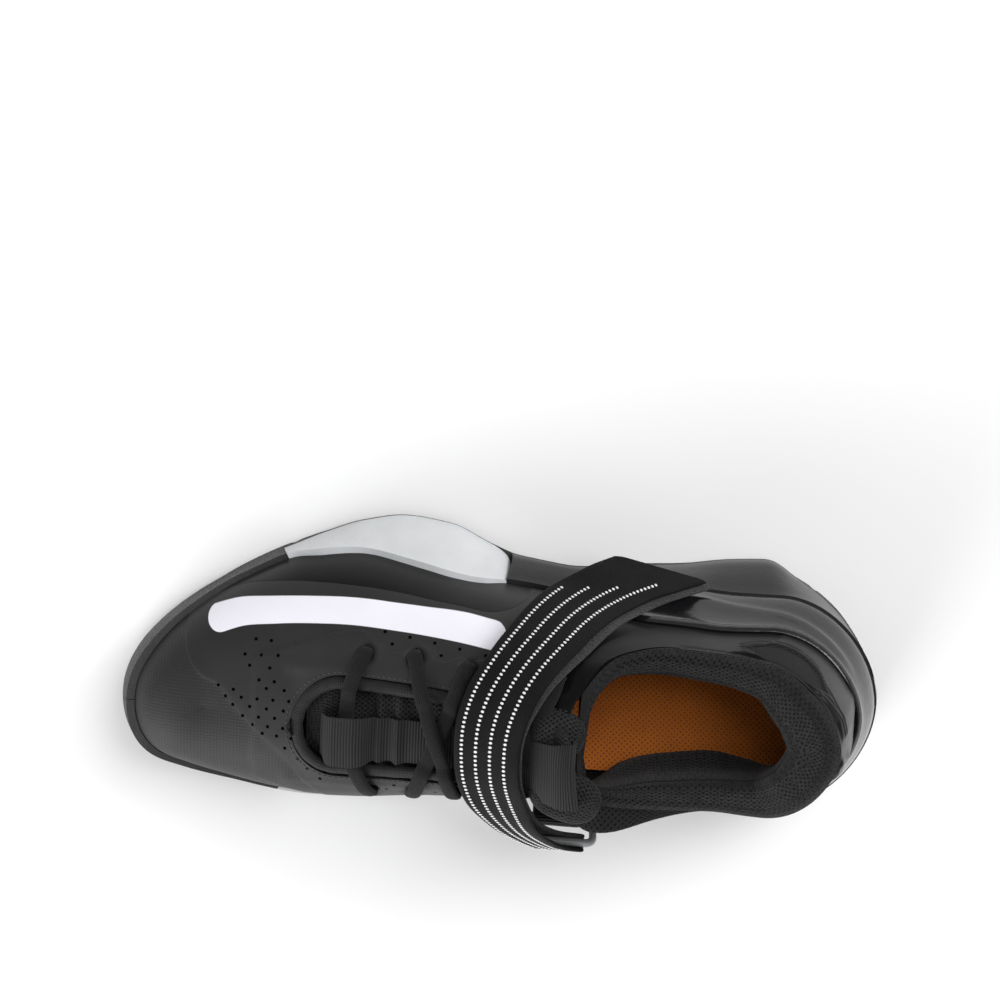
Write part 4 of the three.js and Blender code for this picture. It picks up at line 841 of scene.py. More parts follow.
collar = {"at": [0, 0.06, 0.13, 0.2, 0.27, 0.33, 0.39], "height": [1, 0.93, 0.42, 0.04, 0.02, 0.25, 0.68]}
collarShare = column(collar, "height")
collarFront = lastX(collar["at"][-1])
throat = {"at": [0.39, 0.47, 0.55, 0.64, 0.7, 0.765],
          "middle": [0.112, 0.105, 0.1, 0.105, 0.112, 0.125],
          "width": [0.93, 0.93, 0.96, 1.03, 1.06, 1.06]}
throatCentre, throatSpread = column(throat, "middle"), column(throat, "width")
throatFront = lastX(throat["at"][-1])
throatRound = size["throatWidth"] / 2
bindingForm = {"width": 5, "height": 3.6}
eyelets = {"lateralAt": [0.673, 0.605, 0.531, 0.468, 0.41], "lateral": [-0.192, -0.2, -0.183, -0.185, -0.19],
           "medialAt": [0.66, 0.602, 0.544, 0.475, 0.415], "medial": [0.378, 0.362, 0.33, 0.34, 0.33],
           "radius": 3.2}


def collarHeight(at):
    return mix(size["collarSide"], size["collarBack"], collarShare(at))


def throatMiddle(x):
    return throatCentre(lastAt(x)) * size["ballWidth"]


def throatHalf(x, margin):
    half = throatSpread(lastAt(x)) * size["throatWidth"] / 2 + margin
    past = np.clip((x - (throatFront - throatRound)) / (throatRound + margin), 0, 1)
    return half * np.sqrt(1 - past**2)


def eyelet(row, side):
    key = "lateral" if side < 0 else "medial"
    x = lastX(eyelets[key + "At"][row])
    return np.array([x, eyelets[key][row] * size["ballWidth"]])


def topShare(side, at):  # how far up each meridian the shell reaches, to the collar or the throat
    line = meridian(side, at)
    share = np.clip((collarHeight(at) - line["low"]) / (line["high"] - line["low"]), 0, 1)
    for _ in range(16):
        x = pointAt(line, share)[..., 0]
        aim = (collarHeight(lastAt(x)) - line["low"]) / (line["high"] - line["low"])
        share = np.clip(mix(share, aim, 0.5), 0, 1)
    share = np.where(lastX(at) < collarFront, share, 1)
    margin = bindingForm["width"] / 2 + size["gap"]
    edge = throatMiddle(lastX(at)) + side * throatHalf(lastX(at), margin)
    reach = np.clip(side * (edge - line["coneY"]) / (side * (line["footY"] - line["coneY"])), 0, 1)
    opened = (1 - reach ** line["square"]) ** (1 / line["square"])
    for _ in range(12):
        leaned = np.clip(reach / (1 - line["lean"] * opened**2), 0, 1)
        opened = (1 - leaned ** line["square"]) ** (1 / line["square"])
    inThroat = (lastX(at) > collarFront - 27) & (lastX(at) < throatFront + margin)
    return np.minimum(share, np.where(inThroat, opened, 1))


# Seams and panels, in plan, each a short run of points in the shoe's own millimetres
seams = {
    "toeCap": [(224, -42), (226, -30), (226, -16), (224, -9), (219, -3), (212, 0), (206, 7), (198, 15),
               (189, 23), (183, 29), (176, 38), (168, 47), (160, 56)],
    "film": [(236, -20), (225, -24), (214, -31), (206, -35), (197, -38), (182, -40.5), (160, -41),
             (140, -39.5), (118, -36.5), (107, -36), (96, -38), (84, -42)],
    "eyestay": [(196, -14), (183, -19), (172, -23), (161, -26), (155, -26), (151, -24), (147, -20.5),
                (142, -20.3), (137, -23), (131, -23), (128, -20.5), (125, -18.6), (118, -21), (112, -20.5),
                (104, -23), (92, -25), (80, -26)],
    "band": [(213, -24), (204, -27.5), (192, -29.8), (178, -31.5), (160, -32.6), (140, -32), (122, -30.8),
             (106, -29.4)],
    "bandHalf": 4.6,
}
windowForm = {"at": [0, 0.04, 0.06, 0.09, 0.12, 0.145, 0.17], "centre": [90, 88, 84, 80, 77, 74.5, 72],
              "half": [-3, 0, 7.5, 10, 9, 6, 0]}
# Soft creases: two plan points, the half width and the depth, negative for a trough
creases = [((196, -30), (178, 4), 5, -0.5), ((184, 26), (172, 40), 5, -0.6),
           ((150, -34), (128, -38), 6, -0.5), ((112, -34), (92, -30), 6, -0.6),
           ((150, 38), (128, 40), 6, -0.5), ((88, 38), (70, 34), 7, -0.7)]


# The inner quarter's fullness beside the strap's loop, and how high each detail stands
quarterSwell = {"x": 65, "lift": 10.5, "heelward": 26, "toeward": 13, "above": 3, "fullBy": 17}
shellForm = {"rows": 60, "columns": 250, "border": 0.6, "borderHalf": 0.9, "borderAt": (1.2, 4.2),
             "meshSink": 0.6, "eyestay": 0.6, "toeCap": 0.3, "lipRoll": 0.5, "eyeletRim": 0.45,
             "eyeletSink": 2.2, "heelPart": 0.17, "quarterMesh": {"above": 62, "front": 92, "back": -25}}


def shellDetails(points, side, ats):  # lifts along the normal, and each panel's distance
    plan = points[:, :2]
    lift = np.zeros(len(plan))
    for first, second, half, depth in creases:
        a, b = np.array(first, float), np.array(second, float)
        run = b - a
        t = ((plan - a) @ run) / (run @ run)
        off = np.abs(run[0] * (plan[:, 1] - a[1]) - run[1] * (plan[:, 0] - a[0])) / np.linalg.norm(run)
        fade = smoothStep(t, -0.3, 0.25) * (1 - smoothStep(t, 0.75, 1.3))
        lift += depth * np.exp(-((off / half) ** 2)) * fade
    toeCap, film = (awayFromLine(plan, throughPoints(seams[name], 90)) for name in ("toeCap", "film"))
    attributes = {"toeCap": toeCap, "film": np.where(side < 0, film, -9)}
    line = throughPoints(seams["band"], 60)
    nearest = np.abs(awayFromLine(plan, line))
    attributes["band"] = np.where(side < 0, seams["bandHalf"] - nearest, -9)
    throatAway = np.abs(plan[:, 1] - throatMiddle(plan[:, 0]))
    outline = throatSpread(lastAt(plan[:, 0])) * size["throatWidth"] / 2
    mirrored = np.stack([plan[:, 0], np.where(side > 0, 24 - plan[:, 1], plan[:, 1])], axis=-1)
    wave = awayFromLine(mirrored, throughPoints(seams["eyestay"], 90))
    attributes["eyestay"] = np.where(plan[:, 0] < 198, -wave, -9)
    centre, half = column(windowForm, "centre"), column(windowForm, "half")
    atHeel = ats < shellForm["heelPart"]
    attributes["window"] = np.where(atHeel, half(ats) - np.abs(points[:, 2] - centre(ats)), -9)
    if side > 0:  # the inner quarter's upper part is open mesh
        part = shellForm["quarterMesh"]
        quarter = np.minimum(points[:, 2] - part["above"], part["front"] - plan[:, 0])
        quarter = np.minimum(np.minimum(quarter, plan[:, 0] - part["back"]), 3)
        attributes["window"] = np.maximum(attributes["window"], quarter)
    attributes["film"] = np.maximum(attributes["film"], 88 - plan[:, 0])
    for away in shellForm["borderAt"]:  # a double raised border
        ridge = np.exp(-(((attributes["window"] + away) / shellForm["borderHalf"]) ** 2))
        lift += shellForm["border"] * ridge * atHeel
    lift -= shellForm["meshSink"] * smoothStep(attributes["window"], 0.0, 1.5)
    lift += shellForm["eyestay"] * smoothStep(attributes["eyestay"], -0.7, 0.7)
    lift += shellForm["toeCap"] * smoothStep(attributes["toeCap"], -0.8, 0.8)
    roll = np.exp(-(((throatAway - outline - 5.5) / 2.5) ** 2))
    lift += shellForm["lipRoll"] * roll * (plan[:, 0] < 186)
    for row in range(5):
        for which in (lateral, medial):
            place = eyelet(row, which)
            distance = np.linalg.norm(plan - place, axis=1)
            lift += shellForm["eyeletRim"] * np.exp(-(((distance - 4.6) / 1.3) ** 2))
            lift -= shellForm["eyeletSink"] * (1 - smoothStep(distance, 1.6, 3.9))
    return lift, attributes


def makeUpper():
    margin = bindingForm["width"] / 2 + size["gap"]
    front = throatFront - throatRound + (throatRound + margin) * np.sin(np.linspace(0, math.pi / 2, 26))
    ats = np.concatenate([cosineSteps(shellForm["columns"]), lastAt(front), lastAt(front[-1:]) + 1e-5])
    ats = np.unique(np.round(ats, 6))
    rows = shellForm["rows"]
    grids, found = [], []
    for side in (lateral, medial):
        line = meridian(side, ats)
        top = topShare(side, ats)
        topTurn = np.arcsin(top ** (line["square"] / 2)) * 2 / np.pi
        turns = np.linspace(0, 1, rows)[:, None] * topTurn
        shares = np.sin(turns * np.pi / 2) ** (2 / line["square"])
        grid = pointAt(line, shares)
        flat = grid.reshape(-1, 3)
        lift, attributes = shellDetails(flat, side, np.broadcast_to(ats, shares.shape).ravel())
        along, up = np.gradient(grid, axis=1), np.gradient(grid, axis=0)
        normal = unit(np.cross(along, up)) * (-side)
        fadeEnds = smoothStep(ats, 0.0, 0.004) * (1 - smoothStep(ats, 0.994, 1.0))
        climb = np.linspace(0, 1, rows)[:, None] * np.ones(len(ats))
        edge = smoothStep(climb, 0.0, 0.05) * (1 - smoothStep(climb, 0.86, 0.96) * (ats < 0.25))
        if side > 0:  # the inner quarter stands out beside the strap's loop
            away = grid[..., 0] - quarterSwell["x"]
            away = away / np.where(away < 0, quarterSwell["heelward"], quarterSwell["toeward"])
            overClip = grid[..., 2] - clipForm["height"]
            bell = smoothStep(overClip, quarterSwell["above"], quarterSwell["fullBy"])
            bell = bell * (1 - smoothStep(climb, 0.84, 0.99))
            grid = grid + normal * (quarterSwell["lift"] * np.exp(-(away**2)) * bell)[..., None]
        grids.append(grid + normal * (lift.reshape(shares.shape) * fadeEnds * edge)[..., None])
        found.append(attributes)
    whole = np.concatenate([grids[0], grids[1][::-1]], axis=0)
    attributes = {}
    for name in found[0]:
        halves = [np.asarray(f[name]).reshape(grids[0].shape[:2]) for f in found]
        attributes[name] = np.concatenate([halves[0], halves[1][::-1]], axis=0)
    return gridObject("upper_shell", whole, attributes=attributes, mend=False)


def weldShell(piece):
    work = bmesh.new()
    work.from_mesh(piece.data)
    work.verts.ensure_lookup_table()
    rows = shellForm["rows"]
    joining = []
    for face in work.faces:  # the strip between the two halves stays only over the toe
        ids = sorted(v.index // (len(work.verts) // (2 * rows)) for v in face.verts)
        if ids[0] == rows - 1 and ids[-1] == rows:
            joining.append(face)
    bmesh.ops.delete(work, geom=joining, context="FACES")
    bmesh.ops.remove_doubles(work, verts=work.verts, dist=1.5e-5)
    bmesh.ops.dissolve_degenerate(work, edges=work.edges, dist=1e-7)
    bmesh.ops.recalc_face_normals(work, faces=work.faces)
    probe = max(work.faces, key=lambda f: f.calc_center_median().x)
    if probe.normal.x < 0:
        bmesh.ops.reverse_faces(work, faces=work.faces)
    work.to_mesh(piece.data)
    work.free()


def wallShell(piece):
    piece.data.materials.append(paint["shell"])
    piece.data.materials.append(paint["lining"])
    wall = piece.modifiers.new("wall", "SOLIDIFY")
    wall.thickness = (size["wall"] - 0.2) * mm
    wall.offset = -1
    wall.use_even_offset = False
    wall.material_offset = 1
    applyModifiers(piece)


shell = makeUpper()
weldShell(shell)
wallShell(shell)
finishPiece(shell, None, "film_fabric", "upper", sharp=60)
print("upper made")

def makeInsole():
    ats = np.clip(cosineSteps(160), 1e-5, 1 - 1e-5)
    across = np.linspace(-1, 1, 31)
    sections = []
    for at in ats:
        low = featherHeight(at) + 0.1
        rim = size["insole"] + 0.9 * smoothStep(0.3 - at, 0, 0.2)  # a shallow heel cup
        edges = [sidePoint(side, at, low + size["insole"], -size["wall"] - 0.6) for side in (-1, 1)]
        top = mix(edges[0], edges[1], (across[:, None] + 1) / 2)
        top[:, 2] = low + size["insole"] - 0.9 + (rim - size["insole"] + 0.9) * np.abs(across) ** 6
        bottom = top[::-1].copy()
        bottom[:, 2] = low
        sections.append(np.vstack([top, bottom]))
    piece = gridObject("insole_sheet", np.array(sections), closed=True, capped=True)
    return finishPiece(piece, paint["insole"], "orange_foam", "insole", sharp=60)


collarRoll = {"at": [0, 0.07, 0.16, 0.28, 0.335, 0.38], "roll": [1, 1, 1, 0.7, 0.45, 0.3],
              "thick": [2.1, 1.8, 1.25, 0.9, 0.5, 0.25], "thickness": 8, "rise": 6, "depth": 34}


def makePadding():
    roll, thickShare = column(collarRoll, "roll"), column(collarRoll, "thick")
    sides, places = roundHeel(collarRoll["at"][-1], 120)
    inner, depth, gap = -size["wall"] - 0.6, collarRoll["depth"], size["gap"]
    edge = np.maximum(collarHeight(places), collarHeight(lastAt(lastX(places, inner))))
    rise = collarRoll["rise"] * roll(places)
    thick = collarRoll["thickness"] * thickShare(places)
    k = np.arange(len(places))
    puff = 0.4 * np.sin(k * 0.55) * np.sin(k * 0.13 + 1) + 0.25 * np.sin(k * 0.9 + 2)
    zero = 0 * edge
    low = (sides > 0) * smoothStep(places, 0.03, 0.2) * (1 - smoothStep(places, 0.31, 0.38))
    depth = depth * (1 + 0.25 * low)
    # stand-off from the last and height of each point of the roll's section
    soft = [(zero + gap, edge + 3 * gap), (zero + 2 * gap, edge + 0.5 * rise),
            (zero - size["wall"], edge + rise), (inner - 0.6 * thick, edge + 0.85 * rise + 0.3 * puff),
            (inner - thick, edge - 0.04 * depth), (inner - thick + 0.5 * puff, edge - 0.45 * depth),
            (inner - (0.7 + 0.7 * low) * thick, edge - 0.75 * depth),
            (inner - (0.2 + 0.9 * low) * thick, edge - depth)]
    flat = [(zero + inner, edge - 0.98 * depth), (zero + inner, edge - 0.5 * depth),
            (zero + inner, edge + 3 * gap)]
    curves = np.array([throughPoints(np.array(soft)[:, :, i], 54) for i in range(len(places))])
    curves = np.concatenate([curves, np.array(flat).transpose(2, 0, 1)], axis=1)
    grid = np.zeros((len(places), curves.shape[1], 3))
    for j in range(curves.shape[1]):
        out, height = curves[:, j, 0], curves[:, j, 1]
        onWall = np.maximum(out, inner)
        ring = np.array([sidePoint(side, at, h, o) for side, at, h, o in zip(sides, places, height, onWall)])
        along = unit(np.gradient(ring, axis=0) * [1, 1, 0])
        inward = np.cross([0, 0, 1.0], along)  # the run goes round the heel from the outer side
        grid[:, j] = ring + inward * np.minimum(0, out - inner)[:, None]
    piece = gridObject("collar_pad", grid, closed=True, capped=True)
    finishPiece(piece, paint["collar"], "spacer_mesh", "collar_padding", sharp=70)
    return piece


tongueForm = {
    "at": [0.39, 0.397, 0.406, 0.418, 0.434, 0.48, 0.55, 0.65, 0.72, 0.752],
    "lateral": [-0.08, -0.1, -0.112, -0.118, -0.125, -0.13, -0.13, -0.12, -0.05, 0.04],
    "medial": [0.35, 0.372, 0.36, 0.33, 0.31, 0.31, 0.325, 0.345, 0.3, 0.22],
    "thick": [1.2, 1.6, 1.6, 1.4, 1.2, 1.1, 1, 0.9, 0.7, 0.5],
    "free": [1, 0.97, 0.8, 0.5, 0.2, 0, 0, 0, 0, 0],
    "rise": [0.115, 0.12, 0.115, 0.11, 0.11, 0.1, 0.1, 0.1, 0.1, 0.1],
}
tongueSizes = {"thickness": 5, "skew": 0.1, "clearance": 1.1, "sag": 9, "lobe": 3.4, "reach": 2,
               "folds": [0.648, 0.622], "foldHeight": 2.6, "foldHalf": 0.0065}
tongue = {name: column(tongueForm, name) for name in tongueForm if name != "at"}


def tongueMiddle(at):
    return (tongue["lateral"](at) + tongue["medial"](at)) / 2 * size["ballWidth"]


def tongueHalf(at):
    return (tongue["medial"](at) - tongue["lateral"](at)) / 2 * size["ballWidth"]


def tongueSpot(at, y):
    free, share = tongue["free"](at), (y - tongueMiddle(at)) / tongueHalf(at)
    onLast = roofOver(lastX(at), y, -size["wall"] - tongueSizes["clearance"])
    height = size["instepHeight"] * (1 + tongue["rise"](at)) - tongueSizes["sag"] * share**2
    x = lastX(at) - tongueSizes["skew"] * free * (y - tongueMiddle(at))
    return np.stack([x, y + 0 * x, mix(onLast, height, free)], axis=-1)


def tongueNormal(at, y):
    along = tongueSpot(at + 0.004, y) - tongueSpot(at - 0.004, y)
    return unit(np.cross(along, tongueSpot(at, y + 1) - tongueSpot(at, y - 1)))


def tongueFolds(at):  # the cloth bunches up behind the keeper
    return sum(tongueSizes["foldHeight"] * np.exp(-(((at - place) / tongueSizes["foldHalf"]) ** 2))
               for place in tongueSizes["folds"])


def pillowGrid(form):  # a round pad on three axes: its run, across and its facing
    up, over = np.linspace(-np.pi / 2, np.pi / 2, 29), np.linspace(0, 2 * np.pi, 40, endpoint=False)
    run = unit(np.array(form["run"], float))
    facing = unit(np.cross(run, form["across"]))
    facing = facing * np.sign(facing[2])
    side = np.cross(facing, run)
    power = 0.85
    a = np.sign(np.sin(up)) * np.abs(np.sin(up)) ** power
    ring = np.abs(np.cos(up)) ** power
    b = ring[:, None] * np.sign(np.cos(over)) * np.abs(np.cos(over)) ** power
    c = ring[:, None] * np.sign(np.sin(over)) * np.abs(np.sin(over)) ** power
    half = form["half"]
    return (np.array(form["centre"], float) + run * (a * half[0])[:, None, None]
            + side * (b * half[1])[..., None] + facing * (c * half[2])[..., None])


tonguePads = [  # the two puffed corners of the tongue's top
    {"centre": (80.5, 0.5, 90.5), "run": (-1, 0.06, 0.12), "across": (0, 1, 0.12), "half": (10.5, 9, 5)},
    {"centre": (76.5, 25, 88.5), "run": (-1, 0.3, 0.12), "across": (0.2, 1, -0.25), "half": (14, 10.5, 5.5)},
]


def joinPieces(pieces):  # one object from several, the first keeps its name
    work = bmesh.new()
    for piece in pieces:
        work.from_mesh(piece.data)
    work.to_mesh(pieces[0].data)
    work.free()
    for piece in pieces[1:]:
        bpy.data.objects.remove(piece)
    return pieces[0]


def makeTongue():
    tip = tongueForm["at"][0]
    ats = np.concatenate([tip + (1 - np.cos(np.linspace(0, math.pi / 2, 14))) * 0.016,
                          np.linspace(tip + 0.018, tongueForm["at"][-1], 180)])
    turn = np.linspace(0, 2 * np.pi, 64, endpoint=False)
    share = np.cos(turn)
    sections = []
    for at in ats:
        taper = math.sqrt(max(0.05, 1 - max(0, 1 - (at - tip) / 0.03) ** 2 * 0.75))
        y = tongueMiddle(at) + tongueHalf(at) * share * taper
        face, normal = tongueSpot(at, y), tongueNormal(at, y)
        thick = tongueSizes["thickness"] * tongue["thick"](at) * (0.3 + 0.7 * np.sqrt(1 - share**2))
        ending = math.sqrt(max(0, 1 - max(0, 1 - (at - tip) / 0.016) ** 2))
        top = smoothStep(0.44 - at, 0, 0.03)
        lobes = np.exp(-(((share + 0.66) / 0.3) ** 2)) + np.exp(-(((share - 0.66) / 0.3) ** 2))
        upper = tongueSizes["lobe"] * lobes * top * ending + tongueFolds(at) * (1 - share**6)
        swell = np.sign(np.sin(turn)) * np.abs(np.sin(turn)) ** 0.55
        lift = -thick / 2 + swell * ending * (thick / 2 + np.where(swell > 0, upper, 0))
        spots = face + normal * lift[:, None]
        spots[:, 0] += tongueSizes["reach"] * (1 - 2 * lobes) * smoothStep(0.412 - at, 0, 0.022)
        sections.append(spots)
    body = gridObject("tongue_pad", np.array(sections), closed=True, capped=True)
    pads = [gridObject("tongue_lobe", pillowGrid(form), closed=True) for form in tonguePads]
    piece = joinPieces([body, *pads])
    finishPiece(piece, paint["tongue"], "tongue_mesh", "tongue", sharp=80)
    return piece


keeper = {"at": [0.652, 0.667, 0.68, 0.703, 0.715, 0.73], "arch": [0, 0.8, 1, 1, 0.8, 0],
          "width": 16.5, "thickness": 1.2, "shift": 3.4, "turnOver": 4, "endLift": 4.4, "endWider": 0.3}
# turnDown: how far on and how deep each point lies where a strand goes down its eyelet
laceForm = {"width": 6, "height": 2.9, "solidHeight": 3.2, "sink": 2, "bow": 8, "steps": 60,
            "turnDown": [(0.9, 0.3), (1.6, 1.2), (1.9, 2.4), (1.9, 4.6)], "facings": [0.4, 1.2, 4, 40],
            "slim": [0.72, 0.76, 0.84, 0.93, 0.98]}
bindingTop = bindingForm["height"] / 2 - size["gap"]
laceLift = bindingTop + 2 * size["gap"] + laceForm["solidHeight"] / 2
laceEnd = 2 * size["gap"] + laceForm["solidHeight"] / 2


def makeWebbing():
    arch = column(keeper, "arch")
    ats = np.linspace(keeper["at"][-1], tongueForm["at"][0] + 0.004, 260)
    height = (size["wall"] + tongueSizes["clearance"] + laceLift - laceForm["sink"] / 2
              + laceForm["solidHeight"] / 2 + size["gap"])
    low = (2 * size["gap"] + height * arch(ats) + tongueFolds(ats) * 0.9
           + keeper["endLift"] * (1 - smoothStep(ats, 0.425, 0.49)))
    across = np.linspace(-1, 1, 21)
    middle = throatMiddle(lastX(ats)) + keeper["shift"]
    wide = 1 + keeper["endWider"] * (1 - smoothStep(ats, 0.4, 0.5))
    y = middle[:, None] + across * wide[:, None] * keeper["width"] / 2
    sheet = []
    for lift in (0, keeper["thickness"]):
        spot, normal = tongueSpot(ats[:, None], y), tongueNormal(ats[:, None], y)
        face = spot + normal * (low[:, None, None] + lift)
        end = face[-1]
        turned = [end]
        for step in range(1, 15):  # over the tongue's top and down behind it
            angle = math.pi / 2 * min(1, step / 8)
            radius = 1.6 + lift
            drop = max(0, step - 8) * keeper["turnOver"] / 6
            spot = end + [0, 0, -radius] + [-radius * math.sin(angle), 0, radius * math.cos(angle)]
            turned.append(spot - [0, 0, drop])
        sheet.append(np.concatenate([face[:-1], np.array(turned)]))
    grid = np.concatenate([sheet[1], sheet[0][:, ::-1]], axis=1)
    piece = gridObject("ribbed_webbing", grid, closed=True, capped=True)
    return finishPiece(piece, paint["webbing"], "webbing", "tongue_webbing")


makeInsole()
makePadding()
makeTongue()
makeWebbing()
print("insole, collar and tongue made")

def throatPath(grow):
    straight = np.linspace(collarFront + 1, throatFront - throatRound, 50)[:-1]
    angle = np.linspace(0, math.pi / 2, 24)
    turned = throatFront - throatRound + (throatRound + grow) * np.sin(angle)
    x = np.concatenate([straight, turned])
    half = throatSpread(lastAt(x)) * size["throatWidth"] / 2 + grow
    half = half * np.concatenate([np.ones(len(straight)), np.cos(angle)])
    lateralEdge = np.stack([x, throatMiddle(x) - half], axis=-1)
    medialEdge = np.stack([x, throatMiddle(x) + half], axis=-1)
    return np.concatenate([lateralEdge, medialEdge[-2::-1]])


def makeBinding():
    path = throatPath(0)
    puff = 0.12 * np.sin(np.arange(len(path)) * 1.3)
    spots = onRoof(path[:, 0], path[:, 1], -size["gap"])
    stations = stationsOf(spots, roofNormal(path[:, 0], path[:, 1]))
    outline = ovalOutline(bindingForm["width"], bindingForm["height"], 20)
    outlines = outline[None] * (1 + puff[:, None, None] * 0.3)
    piece = gridObject("throat_lip", sweepGrid(stations, outlines), closed=True, capped=True)
    return finishPiece(piece, paint["binding"], "binding_fabric", "throat_binding")


def strandGrid(start, finish, bow, rise):
    share = np.linspace(0, 1, laceForm["steps"])
    middle = np.sin(np.pi * share)
    x = mix(start[0], finish[0], share) + bow * middle
    y = mix(start[1], finish[1], share)
    edge = np.abs(y - throatMiddle(x)) / (throatSpread(lastAt(x)) * size["throatWidth"] / 2)
    over = mix(laceLift - laceForm["sink"], laceLift, smoothStep(edge, 0.62, 0.86))
    lift = mix(over, laceEnd, smoothStep(edge, 1.25, 1.6)) + rise * middle**4
    spots, facing = onRoof(x, y, lift), roofNormal(x, y)
    for end, inward in ((0, 1), (-1, -1)):  # each end turns down through its eyelet
        normal = facing[end]
        outward = unit(spots[end] - spots[end + 4 * inward])
        run = [spots[end] + outward * a - normal * b for a, b in laceForm["turnDown"]]
        faces = [unit(normal + outward * w) for w in laceForm["facings"]]
        if end == 0:
            spots, facing = np.vstack([run[::-1], spots]), np.vstack([faces[::-1], facing])
        else:
            spots, facing = np.vstack([spots, run]), np.vstack([facing, faces])
    outline = ovalOutline(laceForm["width"], laceForm["height"], 18, 2.4)
    slim = np.ones(len(spots))
    slim[:5] = laceForm["slim"]
    slim[-5:] = laceForm["slim"][::-1]
    return sweepGrid(stationsOf(spots, facing), outline[None] * slim[:, None, None])


def makeLaces():
    bar = strandGrid(eyelet(0, lateral), eyelet(0, medial), laceForm["bow"], 0)
    strands = [("front_bar_lace", bar, "lace_bar")]
    rise = 0.85 * laceForm["solidHeight"]
    for place, row in (("front", 1), ("rear", 3)):
        under = strandGrid(eyelet(row, medial), eyelet(row + 1, lateral), 0, 0)
        over = strandGrid(eyelet(row, lateral), eyelet(row + 1, medial), 0, rise)
        strands += [(place + "_crossing_under", under, "lace_crossing_" + place),
                    (place + "_crossing_over", over, "lace_crossing_" + place)]
    for name, grid, node in strands:
        piece = gridObject(name, grid, closed=True, capped=True)
        finishPiece(piece, paint["lace"], "lace_cord", node, sharp=70)


makeBinding()
makeLaces()
print("lip and laces made")

strapForm = {
    "frontX": [0.362, 0.397, 0.438, 0.471, 0.497, 0.518, 0.539, 0.55, 0.552, 0.547, 0.532, 0.503,
               0.468, 0.452],
    "frontY": [-0.475, -0.447, -0.4, -0.342, -0.278, -0.206, -0.118, -0.018, 0.092, 0.184, 0.276, 0.355,
               0.426, 0.456],
    "frontZ": [0.375, 0.455, 0.55, 0.69, 0.81, 0.89, 0.94, 0.962, 0.97, 0.95, 0.885, 0.772, 0.63, 0.56],
    "rearX": [0.24, 0.275, 0.315, 0.363, 0.402, 0.434, 0.453, 0.465, 0.468, 0.465, 0.453, 0.438,
              0.412, 0.38],
    "rearY": [-0.4, -0.385, -0.36, -0.32, -0.245, -0.167, -0.083, 0.004, 0.092, 0.189, 0.294, 0.372,
              0.436, 0.466],
    "rearZ": [0.387, 0.477, 0.58, 0.76, 0.925, 1.03, 1.075, 1.09, 1.09, 1.055, 0.93, 0.8, 0.64, 0.545],
}
strapSizes = {"thickness": 1.8, "wire": 3, "pileShows": 3.2, "loopReach": 9, "steps": 200,
              "dashRows": [0.13, 0.345, 0.56, 0.775], "dashStarts": [0.165, 0.15, 0.13, 0.085]}
foldAcross = strapSizes["wire"] + 2 * size["gap"] + strapSizes["thickness"]


def strapEdge(end):
    points = np.stack([soleBack + np.array(strapForm[end + "X"]) * size["soleLength"],
                       np.array(strapForm[end + "Y"]) * size["soleBallWidth"],
                       np.array(strapForm[end + "Z"]) * size["instepHeight"]], axis=-1)
    return throughPoints(points, strapSizes["steps"])


def strapStations():
    front, rear = strapEdge("front"), strapEdge("rear")
    centre = (front + rear) / 2
    edge = front - rear
    along = unit(np.gradient(centre, axis=0))
    return centre, unit(edge), unit(np.cross(edge, along)), np.linalg.norm(edge, axis=1), along


def stripOutline(width, thick, steps=33):  # a flat strip with soft edges
    across = np.sin(np.linspace(-np.pi / 2, np.pi / 2, steps))
    swell = np.sqrt(np.clip(1 - np.abs(across) ** 14, 0, 1)) * thick / 2
    top = np.stack([across * width / 2, swell], axis=-1)
    return np.concatenate([top, (top * [1, -1])[::-1][1:-1]])


centre, across, facing, widths, along = strapStations()
loopAcross = across[-1]
loopAlong = unit(along[-1] - loopAcross * (along[-1] @ loopAcross))
loopCentre = centre[-1] + facing[-1] * foldAcross / 2
tabFoot = np.array([loopCentre[0], 0.36 * size["soleBallWidth"], size["heelHeight"] - 3])
tabRun = tabFoot - loopCentre
tabRun = unit(tabRun - loopAcross * (tabRun @ loopAcross))
lowerBar = loopCentre + tabRun * (strapSizes["loopReach"] + strapSizes["wire"])


def strapLayers():  # the lifts of the upper layer, which comes back over the pile layer
    share = np.linspace(0, 1, strapSizes["steps"])
    return share, mix(strapSizes["thickness"] + size["gap"], foldAcross, smoothStep(share, 0.7, 1))


def strapWave(share):  # the cloth's slight waving across its width
    return 0.3 * np.sin(share * 37) * smoothStep(share, 0.02, 0.1)


def makeStrap():
    share, apart = strapLayers()
    flat = stripOutline(1, strapSizes["thickness"])
    outlines = np.repeat(flat[None], len(share), axis=0)
    outlines[..., 0] *= widths[:, None]
    wave = strapWave(share)
    top = centre + facing * apart[:, None]
    upper = [c + a * o[:, :1] + n * (o[:, 1:] + w * o[:, :1] / 18) for c, a, n, o, w in
             zip(top, across, facing, outlines, wave)]
    ends = flat * [widths[-1], 1]
    for step in range(1, 12):
        angle = math.pi * step / 12
        turned = facing[-1] * math.cos(angle) + loopAlong * math.sin(angle)
        spot = loopCentre + turned * foldAcross / 2
        upper.append(spot + loopAcross * ends[:, :1] + turned * ends[:, 1:])
    grid = np.array(upper)
    start = grid[0].mean(axis=0)
    first = start + (grid[0] - start) * 0.94 - along[0] * 0.7
    piece = gridObject("instep_strap", np.concatenate([first[None], grid]), closed=True, capped=True)
    finishPiece(piece, paint["strap"], "strap_fabric", "strap")
    shift = strapSizes["pileShows"] * (1 - smoothStep(share, 0.2, 0.6))
    under = (centre - across * shift[:, None], across, facing)
    piece = gridObject("strap_pile_layer", sweepGrid(under, outlines), closed=True, capped=True)
    return finishPiece(piece, paint["pile"], "strap_fabric", "strap")


